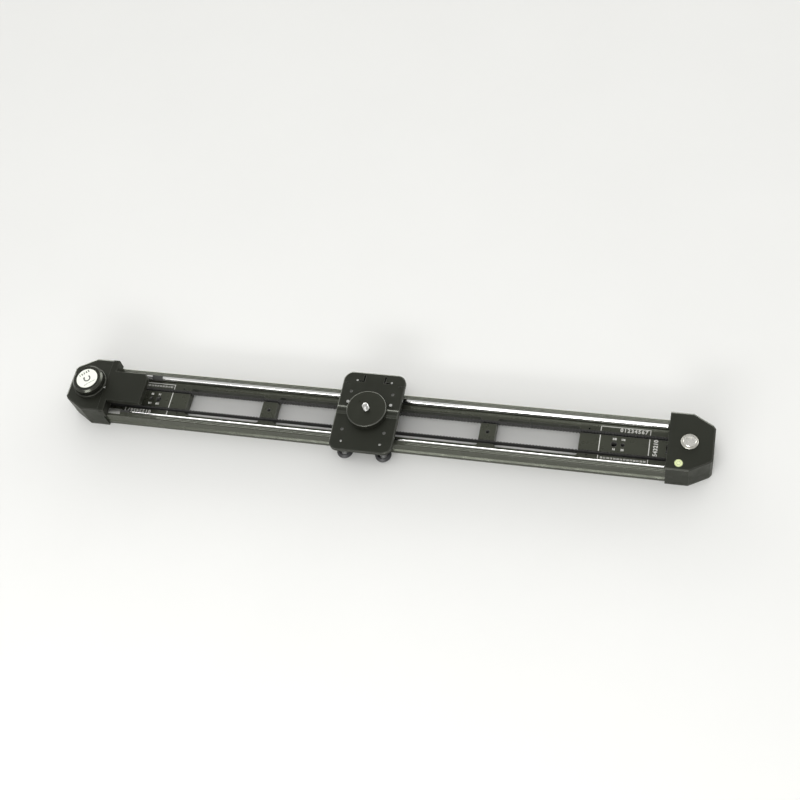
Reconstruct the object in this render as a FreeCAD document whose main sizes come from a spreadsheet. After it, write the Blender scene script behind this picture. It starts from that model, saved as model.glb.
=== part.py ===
"""Camera slider with a flywheel drive: a parametric FreeCAD document.

Frame: millimetres, +Z up, X along the rail, origin under the middle of the rail
on the surface it stands on. The flywheel is at the -X end, the idler at the +X end.
"""
import FreeCAD, Part
import os
import re

import Sketcher

DIMENSIONS = {
    # rail
    "rail_length": 908,
    "rail_width": 88.9,
    "rail_height": 30,
    "floor_top": 18,
    "floor_bottom": 4,
    "wall_inner": 36.8,
    "rod_radius": 4.7625,
    "rod_offset": 36.6,
    "rod_height": 24.9,
    "rod_length": 903,
    "rod_seat_clearance": 0.02,
    "track_height": 11,
    "track_depth": 2.95,
    "track_root": 0.6,
    "edge_break": 0.7,
    "edge_break_across": 1.4,
    "groove_half_width": 0.9,
    "groove_depth": 0.45,
    "ledge_top": 18.9,
    "ledge_foot": 29.8,
    "ledge_slope": 1.7,
    "foot_inner": 25,
    "hollow_inner": 28,
    "hollow_outer": 37.5,
    "hollow_bottom": 3,
    "hollow_top": 14.5,
    "rail_notch_depth": 2.5,
    "rail_notch_half_width": 7.5,
    "belt_slot_inner": 14.3,
    "belt_slot_outer": 20.3,
    "belt_slot_floor": 10.3,
    "window_half_width": 24.7,
    "window_corner": 4.5,
    "web_spacing": 180,
    "web_width": 25,
    "panel_edge": 321.5,
    "stud_hole_place": 374.3,
    "screw_hole_place": 387.3,
    "pin_hole_place": 335,
    "pin_hole_across": 22.6,
    "pin_hole_radius": 1.4,
    "pin_hole_depth": 6,
    "large_thread_radius": 4.7625,
    "small_thread_radius": 3.175,
    # belt drive
    "axle_place": 485,
    "belt_radius": 17.3,
    "belt_thickness": 1.8,
    "belt_width": 10,
    "belt_bottom": 11.3,
    "tooth_body_radius": 16.05,
    "flange_radius": 19.5,
    "flange_bottom": 10.3,
    "flange_top": 22.3,
    "axle_radius": 5,
    "idler_bore": 9.5,
    "washer_radius": 12.5,
    "washer_thickness": 1.8,
    "bolt_head_radius": 9.4,
    "bolt_head_height": 2,
    "bolt_thread_radius": 3.95,
    "hub_height": 8,
    "set_screw_radius": 1.5,
    "set_screw_length": 5,
    "stop_radius": 5.8,
    "rear_stop_place": 374,
    "rear_stop_length": 17.5,
    "front_stop_place": 412.5,
    "front_stop_length": 14.5,
    "collar_radius": 6.8,
    "collar_place": 427.2,
    "collar_length": 20.8,
    "collar_groove": 0.5,
    # end housings
    "housing_end": 521,
    "housing_half_width": 48,
    "housing_shoulder": 488,
    "nose_shoulder": 517.5,
    "nose_shoulder_width": 31,
    "nose_half_width": 26,
    "housing_top": 49.5,
    "housing_bevel": 2.3,
    "housing_bevel_drop": 1.05,
    "base_thickness": 3,
    "wall_thickness": 5,
    "joint_wall": 6,
    "post_radius": 6.5,
    "post_thread_radius": 1.6,
    "post_thread_depth": 12,
    "joint_bolt_height": 9,
    "joint_thread_radius": 2,
    "joint_thread_depth": 16,
    "bolt_hole_radius": 2.1,
    "base_hole_radius": 1.7,
    "base_head_radius": 3.2,
    "base_head_depth": 1.9,
    "level_place": 472.2,
    "level_across": 36.5,
    "level_radius": 6.1,
    "level_depth": 4,
    "level_stand": 0.4,
    "level_floor": 0.8,
    "level_wall": 0.7,
    "level_crown": 24,
    "bearing_height": 7,
    "bearing_radius": 11,
    "lip_end": 448.5,
    # bridge plate
    "bridge_top": 51,
    "bridge_seat": 44,
    "bridge_seam": 458,
    "tongue_bottom": 41,
    "tongue_end": 388.6,
    "tongue_half_width": 27,
    "bridge_round": 1.2,
    "bridge_head_radius": 3,
    "bridge_head_depth": 3.5,
    "bridge_hole_radius": 1.6,
    # flywheel
    "flywheel_radius": 25.5,
    "flywheel_top": 67,
    "badge_radius": 17.7,
    "base_ring_radius": 28,
    "base_ring_top": 55,
    "flywheel_bevel": 3.2,
    "badge_depth": 0.5,
    "badge_thickness": 0.4,
    "drag_screw_length": 10.6,
    "shaft_radius": 4,
    "shaft_bottom": 3.4,
    "shaft_length": 58.6,
    "hub_radius": 11.5,
    "hub_opening": 12.5,
    # carriage
    "carriage_place": -8.4,
    "carriage_length": 101.6,
    "carriage_width": 139.7,
    "carriage_bottom": 39,
    "carriage_top": 45.35,
    "carriage_corner": 15,
    "carriage_bevel": 1.5,
    "carriage_bevel_drop": 0.75,
    "slot_near": 15.6,
    "slot_far": 18.4,
    "slot_reach": 25.4,
    "slot_foot": 52.6,
    "slot_foot_end": 54.8,
    "slot_end": 65,
    "slot_depth": 4.6,
    "slit_inset": 1.1,
    "slit_foot_inset": 0.8,
    "kerf_near": 41,
    "kerf_far": 52,
    "kerf_low": 48.6,
    "kerf_high": 49.7,
    "rib_height": 3,
    "rib_half_width": 7.5,
    "disc_radius": 31.75,
    "disc_top": 56,
    "disc_round": 2,
    "stud_radius": 4.7625,
    "stud_shoulder_radius": 5.5,
    "stud_top": 66.7,
    "stud_head_radius": 9,
    "stud_head_height": 4,
    "clamp_screw_across": 14.55,
    "clamp_half_length": 42,
    "clamp_inner": 10,
    "clamp_outer": 22.5,
    "clamp_lift": 0.8,
    "jaw_screw_height": 30,
    "shoe_half_length": 8,
    "shoe_inner": 29.5,
    "shoe_step": 36,
    "shoe_outer": 42,
    "shoe_across": 34.3,
    "shoe_sink": 3.8,
    "preload_place": 60,
    "preload_length": 9.4,
    "preload_height": 42.2,
    "roller_offset": 55,
    "roller_radius": 13,
    "roller_half_width": 4,
    "roller_bore": 8,
    "roller_axle_radius": 2.5,
    "roller_axle_end_radius": 1.7,
    "roller_bearing_half": 2.5,
    "sleeve_radius": 5.5,
    "sleeve_foot": 2.8,
    "nut_radius": 4.6,
    "nut_depth": 7.1,
    "nut_height": 4.3,
    "running_clearance": 0.05,
    "gap": 0.35,
}

# Places of what repeats: (x, y) from the origin or, on the carriage, from its middle.
JOINT_BOLTS = [-24.2, -10.5, 10.5, 24.2]
POSTS = [("466", "37"), ("466", "-37"), ("497", "30.5"), ("497", "-30.5")]
BRIDGE_SCREWS = [("-452.4", across) for across in (-38, -20, 20, 38)]
WALL_GROOVES = [41.6, 39.2]
ROLLERS = {
    "rear_left": (-28.4, 1),
    "rear_right": (28.4, 1),
    "front_left": (-31.2, -1),
    "front_right": (31.2, -1),
}
SHOES = {
    "rear_left": (-34, 1),
    "rear_right": (34, 1),
    "front_left": (-34, -1),
    "front_right": (34, -1),
}
DISC_SCREWS = [(0, 26.8), (-19, -19), (19, -19)]
CLAMP_SCREWS = [-35, 35]
JAW_SCREWS = [-25, 25]

doc = FreeCAD.newDocument("camera_slider")
sheet = doc.addObject("Spreadsheet::Sheet", "Dims")
for row, (alias, number) in enumerate(DIMENSIONS.items(), start=1):
    sheet.set(f"A{row}", alias)
    sheet.set(f"B{row}", str(number))
    sheet.setAlias(f"B{row}", alias)
doc.recompute()

nodes = []
X_AXIS = FreeCAD.Rotation(FreeCAD.Vector(0, 1, 0), 90)
Y_AXIS = FreeCAD.Rotation(FreeCAD.Vector(1, 0, 0), -90)
TURNS = {"X": X_AXIS, "Y": Y_AXIS, "Z": FreeCAD.Rotation()}


# ---------------------------------------------------------------- expressions
def bound(text):
    """The expression with every dimension's name pointing at its cell."""
    def cell(match):
        word = match.group()
        return "Dims." + word if word in DIMENSIONS else word
    return re.sub(r"[a-z]+(?:_[a-z]+)*", cell, str(text))


def value(text):
    """The number that an expression has now."""
    return float(sheet.evalExpression(bound(text)))


def bind(thing, prop, text):
    thing.setExpression(prop, bound(text))


def signed(sign, text):
    return f"{sign} * ({text})"


def add(text, number):
    return f"({text}) + ({number})"


# ------------------------------------------------------------ part primitives
def place(thing, x, y, z, axis="Z"):
    thing.Placement = FreeCAD.Placement(FreeCAD.Vector(), TURNS[axis])
    for name, text in zip("xyz", (x, y, z)):
        bind(thing, f"Placement.Base.{name}", text)


def box(xs, ys, zs):
    """A block between (low, high) limits along each axis."""
    thing = doc.addObject("Part::Box", "block")
    for prop, (low, high) in zip(("Length", "Width", "Height"), (xs, ys, zs)):
        bind(thing, prop, f"({high}) - ({low})")
    place(thing, xs[0], ys[0], zs[0])
    return thing


def cylinder(radius, start, length, axis="Z"):
    thing = doc.addObject("Part::Cylinder", "round")
    bind(thing, "Radius", radius)
    bind(thing, "Height", length)
    place(thing, *start, axis)
    return thing


def hexagon(across_corners_radius, start, length, axis="Z"):
    thing = doc.addObject("Part::Prism", "hexagon")
    thing.Polygon = 6
    bind(thing, "Circumradius", across_corners_radius)
    bind(thing, "Height", length)
    place(thing, *start, axis)
    return thing


def fuse(*things):
    joined = doc.addObject("Part::MultiFuse", "joined")
    joined.Shapes = list(things)
    joined.Refine = True
    return joined


def cut(base, *tools):
    result = doc.addObject("Part::Cut", "cut")
    result.Base = base
    result.Tool = tools[0] if len(tools) == 1 else fuse(*tools)
    return result


def common(first, second):
    result = doc.addObject("Part::Common", "shared")
    result.Base = first
    result.Tool = second
    return result


def ring(outer, inner, low, high, x, y):
    """A plain ring or sleeve standing between two heights."""
    length = f"({high}) - ({low})"
    outside = cylinder(outer, (x, y, low), length)
    inside = cylinder(inner, (x, y, low), length)
    return cut(outside, inside)


def group(members):
    """Separate equal solids that share one node."""
    together = doc.addObject("Part::Compound", "group")
    together.Links = list(members)
    return together


def node(thing, label):
    thing.Label = label
    nodes.append(thing)
    return thing


def screw(head_radius, head_height, shank_radius, length, seat, axis="Z", out=1, socket=0.5):
    """A socket screw. seat is the middle of the face under its head; out is the way its head stands."""
    place_of = dict(zip("XYZ", seat))

    def moved(number):
        point = dict(place_of)
        point[axis] = add(place_of[axis], number)
        return tuple(point[name] for name in "XYZ")

    head_start = 0 if out > 0 else -head_height
    shank_start = -length if out > 0 else 0
    socket_depth = head_height * 0.6
    socket_start = head_height - socket_depth if out > 0 else -head_height
    head = cylinder(head_radius, moved(head_start), head_height, axis)
    shank = cylinder(shank_radius, moved(shank_start), length, axis)
    recess = hexagon(head_radius * socket, moved(socket_start), socket_depth, axis)
    return cut(fuse(head, shank), recess)


# ------------------------------------------------------------- PartDesign body
class Piece:
    """One PartDesign body, built feature by feature."""

    def __init__(self):
        self.body = doc.addObject("PartDesign::Body", "body")

    def sketch(self, plane="XY", offset="0"):
        drawing = self.body.newObject("Sketcher::SketchObject", "sketch")
        planes = [f for f in self.body.Origin.OriginFeatures if f.Role == plane + "_Plane"]
        drawing.AttachmentSupport = [(planes[0], "")]
        drawing.MapMode = "FlatFace"
        bind(drawing, "AttachmentOffset.Base.z", offset)
        return drawing

    def feature(self, kind, drawing, length, backwards):
        made = self.body.newObject("PartDesign::" + kind, kind.lower())
        made.Profile = drawing
        bind(made, "Length", length)
        made.Reversed = backwards
        doc.recompute()
        return made

    def pad(self, drawing, length, backwards=False):
        return self.feature("Pad", drawing, length, backwards)

    def pocket(self, drawing, length, backwards=False):
        before = self.body.Shape.Volume
        made = self.feature("Pocket", drawing, length, backwards)
        if made.Shape.Volume > before - 0.01:
            raise ValueError(f"a pocket in {self.body.Name} cuts nothing")
        return made

    def revolve(self, drawing):
        made = self.body.newObject("PartDesign::Revolution", "turned")
        made.Profile = drawing
        made.ReferenceAxis = (drawing, ["V_Axis"])
        made.Angle = 360
        doc.recompute()
        return made

    def dress(self, kind, prop, size, wanted):
        """A Fillet or Chamfer on the edges that wanted() accepts."""
        base = self.body.Tip
        found = [f"Edge{n}" for n, edge in enumerate(base.Shape.Edges, start=1) if wanted(edge)]
        if not found:
            raise ValueError(f"no edge found for a {kind} in {self.body.Name}")
        made = self.body.newObject("PartDesign::" + kind, kind.lower())
        made.Base = (base, found)
        bind(made, prop, size)
        doc.recompute()
        return made

    def bevel(self, drop, across, wanted):
        """A flat bevel between a level face and upright ones: drop off the height, across off the top."""
        for wall_first in (True, False):
            shape = self.body.Tip.Shape

            def chosen(edge):
                if not wanted(edge):
                    return False
                faces = shape.ancestorsOfType(edge, Part.Face)
                tilts = [round(abs(face.normalAt(0, 0).z), 3) for face in faces]
                return tilts == ([0, 1] if wall_first else [1, 0])

            if any(chosen(edge) for edge in shape.Edges):
                made = self.dress("Chamfer", "Size", across, chosen)
                made.ChamferType = "Two distances"
                made.FlipDirection = wall_first
                bind(made, "Size2", drop)
                doc.recompute()

    def fillet(self, size, wanted):
        return self.dress("Fillet", "Radius", size, wanted)


def outline(drawing, points):
    """A closed outline of straight lines through (x, y) expressions."""
    first = drawing.GeometryCount
    count = len(points)
    spots = [FreeCAD.Vector(value(x), value(y), 0) for x, y in points]
    for n, spot in enumerate(spots):
        drawing.addGeometry(Part.LineSegment(spot, spots[(n + 1) % count]))
    for n in range(count):
        following = first + (n + 1) % count
        drawing.addConstraint(Sketcher.Constraint("Coincident", first + n, 2, following, 1))
    for n, (x, y) in enumerate(points):
        for kind, text in (("DistanceX", x), ("DistanceY", y)):
            constraint = Sketcher.Constraint(kind, -1, 1, first + n, 1, value(text))
            number = drawing.addConstraint(constraint)
            bind(drawing, f"Constraints[{number}]", text)


def rectangle(drawing, xs, ys):
    outline(drawing, [(xs[0], ys[0]), (xs[1], ys[0]), (xs[1], ys[1]), (xs[0], ys[1])])


def circle(drawing, x, y, radius):
    spot = FreeCAD.Vector(value(x), value(y), 0)
    upwards = FreeCAD.Vector(0, 0, 1)
    number = drawing.addGeometry(Part.Circle(spot, upwards, value(radius)))
    for kind, text in (("DistanceX", x), ("DistanceY", y)):
        constraint = Sketcher.Constraint(kind, -1, 1, number, 3, value(text))
        bind(drawing, f"Constraints[{drawing.addConstraint(constraint)}]", text)
    constraint = Sketcher.Constraint("Radius", number, value(radius))
    bind(drawing, f"Constraints[{drawing.addConstraint(constraint)}]", radius)


def turned(profile, x, y):
    """A piece turned about a vertical axis at (x, y) from (radius, height) points."""
    piece = Piece()
    drawing = piece.sketch("XZ")
    outline(drawing, profile)
    piece.revolve(drawing)
    bind(piece.body, "Placement.Base.x", x)
    bind(piece.body, "Placement.Base.y", y)
    return piece


def upright(edge):
    low, high = edge.Vertexes[0].Point, edge.Vertexes[-1].Point
    return abs(low.x - high.x) < 1e-4 and abs(low.y - high.y) < 1e-4 and abs(low.z - high.z) > 1e-3


def level_at(edge, height):
    return all(abs(corner.Z - height) < 1e-4 for corner in edge.Vertexes)


# ------------------------------------------------------------------- the rail
def rail_half_profile():
    """(across, height) points of the +Y half of the section, from under the floor to its middle."""
    side = "rail_width / 2"
    flank = "track_root + track_depth"
    points = [
        ("foot_inner", "floor_bottom"),
        ("foot_inner", "0"),
        (add(side, -1), "0"),
        (side, "1"),
        (side, f"track_height - ({flank})"),
        (f"{side} - track_depth", "track_height - track_root"),
        (f"{side} - track_depth", "track_height + track_root"),
        (side, f"track_height + ({flank})"),
        (side, "rail_height - edge_break"),
        (f"{side} - edge_break_across", "rail_height"),
    ]
    for across in WALL_GROOVES:
        points.append((f"{across} + groove_half_width", "rail_height"))
        points.append((across, "rail_height - groove_depth"))
        points.append((f"{across} - groove_half_width", "rail_height"))
    points += [
        ("wall_inner", "rail_height"),
        ("wall_inner", "ledge_top"),
        ("ledge_foot + ledge_slope", "ledge_top"),
        ("ledge_foot", "floor_top"),
        ("belt_slot_outer", "floor_top"),
        ("belt_slot_outer", "belt_slot_floor"),
        ("belt_slot_inner", "belt_slot_floor"),
        ("belt_slot_inner", "floor_top"),
    ]
    return points


def rounded_block(xs, ys, zs, corner):
    """A block whose upright edges are round."""
    inner_x = (f"{xs[0]} + {corner}", f"{xs[1]} - {corner}")
    inner_y = (f"{ys[0]} + {corner}", f"{ys[1]} - {corner}")
    length = f"({zs[1]}) - ({zs[0]})"
    corners = [cylinder(corner, (x, y, zs[0]), length) for x in inner_x for y in inner_y]
    return fuse(box(xs, inner_y, zs), box(inner_x, ys, zs), *corners)


def rail_windows():
    """Four rounded windows between the end panels and the three webs."""
    across = ("-window_half_width", "window_half_width")
    webs = ["-panel_edge", "-web_spacing", "0", "web_spacing", "panel_edge"]
    windows = []
    for n in range(4):
        low = webs[n] if n == 0 else f"{webs[n]} + web_width / 2"
        high = webs[n + 1] if n == 3 else f"{webs[n + 1]} - web_width / 2"
        windows.append(rounded_block((low, high), across, ("-1", "floor_top + 1"), "window_corner"))
    return windows


def rail_holes(piece):
    """Tripod threads through the panels and webs, pin holes and the notch at each end."""
    threads = piece.sketch("XY", "floor_top")
    for sign in (-1, 1):
        circle(threads, signed(sign, "stud_hole_place"), "0", "large_thread_radius")
        circle(threads, signed(sign, "screw_hole_place"), "0", "small_thread_radius")
        circle(threads, signed(sign, "web_spacing"), "0", "small_thread_radius")
        notch = (signed(sign, "rail_length / 2 - rail_notch_depth"), signed(sign, "rail_length / 2 + 1"))
        ends = sorted(notch, key=value)
        rectangle(threads, ends, ("-rail_notch_half_width", "rail_notch_half_width"))
    circle(threads, "0", "0", "large_thread_radius")
    piece.pocket(threads, "floor_top")
    pins = piece.sketch("XY", "floor_top")
    for sign in (-1, 1):
        for side in (-1, 1):
            across = signed(side, "pin_hole_across")
            circle(pins, signed(sign, "pin_hole_place"), across, "pin_hole_radius")
    piece.pocket(pins, "pin_hole_depth")


def rail_end_threads(piece):
    for sign in (-1, 1):
        drawing = piece.sketch("YZ", signed(sign, "rail_length / 2"))
        for across in JOINT_BOLTS:
            circle(drawing, across, "joint_bolt_height", "joint_thread_radius")
        piece.pocket(drawing, "joint_thread_depth", backwards=sign < 0)


def make_rail():
    piece = Piece()
    section = piece.sketch("YZ", "-rail_length / 2")
    half = rail_half_profile()
    mirrored = [(signed(-1, y), z) for y, z in reversed(half)]
    outline(section, half + mirrored)
    piece.pad(section, "rail_length")
    hollows = piece.sketch("YZ", "rail_length / 2")
    for sign in (-1, 1):
        circle(hollows, signed(sign, "rod_offset"), "rod_height", "rod_radius + rod_seat_clearance")
        sides = sorted((signed(sign, "hollow_inner"), signed(sign, "hollow_outer")), key=value)
        rectangle(hollows, sides, ("hollow_bottom", "hollow_top"))
    piece.pocket(hollows, "rail_length")
    rail_holes(piece)
    rail_end_threads(piece)
    node(cut(piece.body, *rail_windows()), "rail_extrusion")


def make_rods():
    for label, sign in (("rod_rear", 1), ("rod_front", -1)):
        start = ("-rod_length / 2", signed(sign, "rod_offset"), "rod_height")
        node(cylinder("rod_radius", start, "rod_length", "X"), label)


def on_rod(side, end, length, radius, wall_top):
    """A sleeve that ends at -end on a rod; it is open where the rail's wall holds the rod."""
    start = (f"-{end} - {length}", signed(side, "rod_offset"), "rod_height")
    sleeve = cylinder(radius, start, length, "X")
    rod = cylinder("rod_radius + running_clearance", start, length, "X")
    beside = sorted((signed(side, "wall_inner - running_clearance"), signed(side, "rail_width")), key=value)
    along = (start[0], f"-{end}")
    wall = box(along, beside, ("0", wall_top))
    across = sorted((signed(side, "ledge_foot"), signed(side, "rail_width")), key=value)
    ledge = box(along, across, ("0", "ledge_top + running_clearance"))
    return cut(sleeve, rod, wall, ledge)


def make_rod_stops():
    """A bumper on each rod, and a grooved collar between the front one and the housing."""
    rear = on_rod(1, "rear_stop_place", "rear_stop_length", "stop_radius", "housing_top")
    front = on_rod(-1, "front_stop_place", "front_stop_length", "stop_radius", "housing_top")
    node(group([rear, front]), "rod_stops")
    seat = "rail_height + running_clearance"
    collar = on_rod(-1, "collar_place", "collar_length", "collar_radius", seat)
    grooves = []
    for n in range(1, 5):
        start = (f"-collar_place - collar_length * {n} / 5", "-rod_offset", "rod_height")
        ridge = cylinder("collar_radius + 1", start, "1", "X")
        grooves.append(cut(ridge, cylinder("collar_radius - collar_groove", start, "1", "X")))
    node(cut(collar, *grooves), "rod_collar")


def belt_loop(radius):
    """A solid as long as the belt, with round ends of this radius about both axles."""
    start = "belt_bottom"
    middle = box(("-axle_place", "axle_place"), (f"-({radius})", radius), (start, f"{start} + belt_width"))
    ends = [cylinder(radius, (signed(sign, "axle_place"), "0", start), "belt_width") for sign in (-1, 1)]
    return fuse(middle, *ends)


def make_belt():
    outside = belt_loop("belt_radius + belt_thickness / 2")
    inside = belt_loop("belt_radius - belt_thickness / 2")
    node(cut(outside, inside), "drive_belt")


# ---------------------------------------------------------------- end housings
def housing_outline(sign, inset, inboard):
    """The eight-sided plan of an end housing, moved in by inset."""
    slope = inset * 0.55
    half = [
        (inboard, add("housing_half_width", -inset)),
        (add("housing_shoulder", -slope), add("housing_half_width", -inset)),
        (add("nose_shoulder", -inset * 0.9), add("nose_shoulder_width", -slope)),
        (add("housing_end", -inset), add("nose_half_width", -slope)),
    ]
    points = half + [(x, signed(-1, y)) for x, y in reversed(half)]
    return [(signed(sign, x), y) for x, y in points]


def housing_shell(sign, inboard_lip):
    piece = Piece()
    plan = piece.sketch("XY", "base_thickness")
    outline(plan, housing_outline(sign, 0, "rail_length / 2"))
    piece.pad(plan, "housing_top - base_thickness")
    if inboard_lip:
        lip = piece.sketch("XY", "rail_height")
        limits = sorted((signed(sign, "lip_end"), signed(sign, "axle_place")), key=value)
        rectangle(lip, limits, ("-housing_half_width", "housing_half_width"))
        piece.pad(lip, "housing_top - rail_height")
    top = value("housing_top")
    inboard = value("lip_end" if inboard_lip else "rail_length / 2")

    def rim(edge):
        return level_at(edge, top) and max(abs(corner.X) for corner in edge.Vertexes) > inboard + 0.1

    piece.bevel("housing_bevel_drop", "housing_bevel", rim)
    return piece


def housing_inside(piece, sign):
    """The cavity, its screw posts, and the belt slots and bolt holes in the wall against the rail."""
    cavity = piece.sketch("XY", "base_thickness")
    outline(cavity, housing_outline(sign, value("wall_thickness"), "rail_length / 2 + joint_wall"))
    piece.pocket(cavity, "housing_top - wall_thickness - base_thickness", backwards=True)
    posts = piece.sketch("XY", "base_thickness")
    for x, y in POSTS:
        circle(posts, signed(sign, x), y, "post_radius")
    piece.pad(posts, "housing_top - wall_thickness - base_thickness")
    threads = piece.sketch("XY", "base_thickness")
    for x, y in POSTS:
        circle(threads, signed(sign, x), y, "post_thread_radius")
    piece.pocket(threads, "post_thread_depth", backwards=True)
    wall = piece.sketch("YZ", signed(sign, "rail_length / 2"))
    for side in (-1, 1):
        limits = sorted((signed(side, "belt_slot_inner"), signed(side, "belt_slot_outer")), key=value)
        rectangle(wall, limits, ("belt_slot_floor", "flange_top + 0.5"))
    for across in JOINT_BOLTS:
        circle(wall, across, "joint_bolt_height", "bolt_hole_radius")
    piece.pocket(wall, "joint_wall", backwards=sign > 0)


def make_right_housing():
    piece = housing_shell(1, inboard_lip=False)
    housing_inside(piece, 1)
    axle = piece.sketch("XY", "housing_top")
    circle(axle, "axle_place", "0", "axle_radius + running_clearance")
    piece.pocket(axle, "wall_thickness")
    level = piece.sketch("XY", "housing_top")
    circle(level, "level_place", "-level_across", "level_radius + running_clearance")
    piece.pocket(level, "level_depth")
    node(piece.body, "right_end_housing")


def make_left_housing():
    piece = housing_shell(-1, inboard_lip=True)
    housing_inside(piece, -1)
    boss = piece.sketch("XY", "housing_top - wall_thickness")
    circle(boss, "-axle_place", "0", "bearing_radius + 3")
    piece.pad(boss, "bearing_height", backwards=True)
    seat = piece.sketch("XY", "housing_top - wall_thickness - bearing_height")
    circle(seat, "-axle_place", "0", "bearing_radius")
    piece.pocket(seat, "bearing_height", backwards=True)
    opening = piece.sketch("XY", "housing_top")
    circle(opening, "-axle_place", "0", "hub_opening")
    piece.pocket(opening, "wall_thickness - 1.5")
    shaft = piece.sketch("XY", "housing_top - wall_thickness + 2")
    circle(shaft, "-axle_place", "0", "6")
    piece.pocket(shaft, "3")
    recess = piece.sketch("XY", "housing_top")
    rectangle(recess, ("-bridge_seam", "-lip_end + 1"), ("-60", "60"))
    piece.pocket(recess, "housing_top - bridge_seat")
    screws = piece.sketch("XY", "rail_height")
    for x, y in BRIDGE_SCREWS:
        circle(screws, x, y, "bridge_hole_radius")
    piece.pocket(screws, "bridge_seat - rail_height", backwards=True)
    heads = piece.sketch("XY", "rail_height")
    for x, y in BRIDGE_SCREWS:
        circle(heads, x, y, "bridge_head_radius")
    piece.pocket(heads, "bridge_head_depth", backwards=True)
    node(piece.body, "left_end_housing")


def base_plate(sign, boss_radius, boss_height):
    piece = Piece()
    plan = piece.sketch("XY", "0")
    outline(plan, housing_outline(sign, 0, "rail_length / 2"))
    piece.pad(plan, "base_thickness")
    boss = piece.sketch("XY", "base_thickness")
    circle(boss, signed(sign, "axle_place"), "0", boss_radius)
    piece.pad(boss, boss_height)
    holes = piece.sketch("XY", "base_thickness")
    heads = piece.sketch("XY", "0")
    for x, y in POSTS:
        circle(holes, signed(sign, x), y, "base_hole_radius")
        circle(heads, signed(sign, x), y, "base_head_radius")
    piece.pocket(holes, "base_thickness")
    piece.pocket(heads, "base_head_depth", backwards=True)
    return piece


def make_base_plates():
    right = base_plate(1, "7.5", "flange_bottom - 0.3 - base_thickness")
    thread = right.sketch("XY", "flange_bottom - 0.3")
    circle(thread, "axle_place", "0", "4")
    right.pocket(thread, "flange_bottom")
    node(right.body, "right_base_plate")
    left = base_plate(-1, "bearing_radius + 3", "flange_bottom - 0.5 - base_thickness")
    seat = left.sketch("XY", "flange_bottom - 0.5")
    circle(seat, "-axle_place", "0", "bearing_radius")
    left.pocket(seat, "bearing_height")
    node(left.body, "left_base_plate")


def make_housing_screws():
    for side, sign in (("right", 1), ("left", -1)):
        spots = [(signed(sign, x), y, "base_head_depth") for x, y in POSTS]
        plate = [screw(3, 1.8, 1.55, 12, spot, "Z", out=-1) for spot in spots]
        node(group(plate), side + "_base_screws")
        face = signed(sign, "rail_length / 2 + joint_wall")
        seats = [(face, across, "joint_bolt_height") for across in JOINT_BOLTS]
        joint = [screw(3.5, 3.5, 1.95, 18, seat, "X", out=sign) for seat in seats]
        node(group(joint), side + "_joint_bolts")


# ------------------------------------------------------------------ idler end
def make_idler_axle():
    seat = "housing_top + washer_thickness"
    crown = f"{seat} + bolt_head_height"
    profile = [
        ("0", "0.6"), ("bolt_thread_radius", "0.6"), ("bolt_thread_radius", "flange_bottom - 0.3"),
        ("axle_radius", "flange_bottom - 0.3"), ("axle_radius", seat), ("bolt_head_radius", seat),
        ("bolt_head_radius", f"{crown} - 0.6"), ("bolt_head_radius - 0.6", crown), ("0", crown),
    ]
    bolt = turned(profile, "axle_place", "0")
    socket = hexagon("6.6", ("axle_place", "0", f"{crown} - 1.4"), "2")
    node(cut(bolt.body, socket), "idler_shoulder_bolt")
    bore = "axle_radius + running_clearance"
    washer = [
        (bore, "housing_top"), ("washer_radius", "housing_top"), ("washer_radius", f"{seat} - 0.5"),
        ("washer_radius - 0.5", seat), (bore, seat),
    ]
    node(turned(washer, "axle_place", "0").body, "idler_washer")
    sleeve = ring("7.5", bore, "flange_top + 0.3", "housing_top - wall_thickness", "axle_place", "0")
    node(sleeve, "idler_spacer")


def pulley_profile(bore, hub=None):
    """(radius, height) points of a flanged pulley; a hub may stand above its top flange."""
    low, high = "flange_bottom", "flange_top"
    points = [
        (bore, low), ("flange_radius", low), ("flange_radius", f"{low} + 0.5"),
        ("tooth_body_radius", f"{low} + 0.7"), ("tooth_body_radius", f"{high} - 0.7"),
        ("flange_radius", f"{high} - 0.5"), ("flange_radius", high),
    ]
    if hub:
        points += [(hub, high), (hub, f"{high} + hub_height"), (bore, f"{high} + hub_height")]
    else:
        points += [(bore, high)]
    return points


def make_idler_pulley():
    node(turned(pulley_profile("idler_bore"), "axle_place", "0").body, "idler_pulley")
    bore = "axle_radius + running_clearance"
    lower = ring("idler_bore", bore, "flange_bottom", "flange_bottom + 5", "axle_place", "0")
    upper = ring("idler_bore", bore, "flange_top - 5", "flange_top", "axle_place", "0")
    node(lower, "idler_bearing_lower")
    node(upper, "idler_bearing_upper")


def make_bubble_level():
    place_x, place_y = "level_place", "-level_across"
    low = "housing_top - level_depth"
    bore = "level_radius - level_wall"
    inner = (place_x, place_y, f"{low} + level_floor")
    outside = cylinder("level_radius", (place_x, place_y, low), "level_depth + level_stand")
    inside = cylinder(bore, inner, "level_depth")
    node(cut(outside, inside), "bubble_level_cup")
    barrel = cylinder(f"{bore} - running_clearance", inner, "level_depth")
    crown = doc.addObject("Part::Sphere", "crown")
    bind(crown, "Radius", "level_crown")
    place(crown, place_x, place_y, "housing_top + level_stand + 0.1 - level_crown")
    node(common(barrel, crown), "bubble_level_vial")


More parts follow.
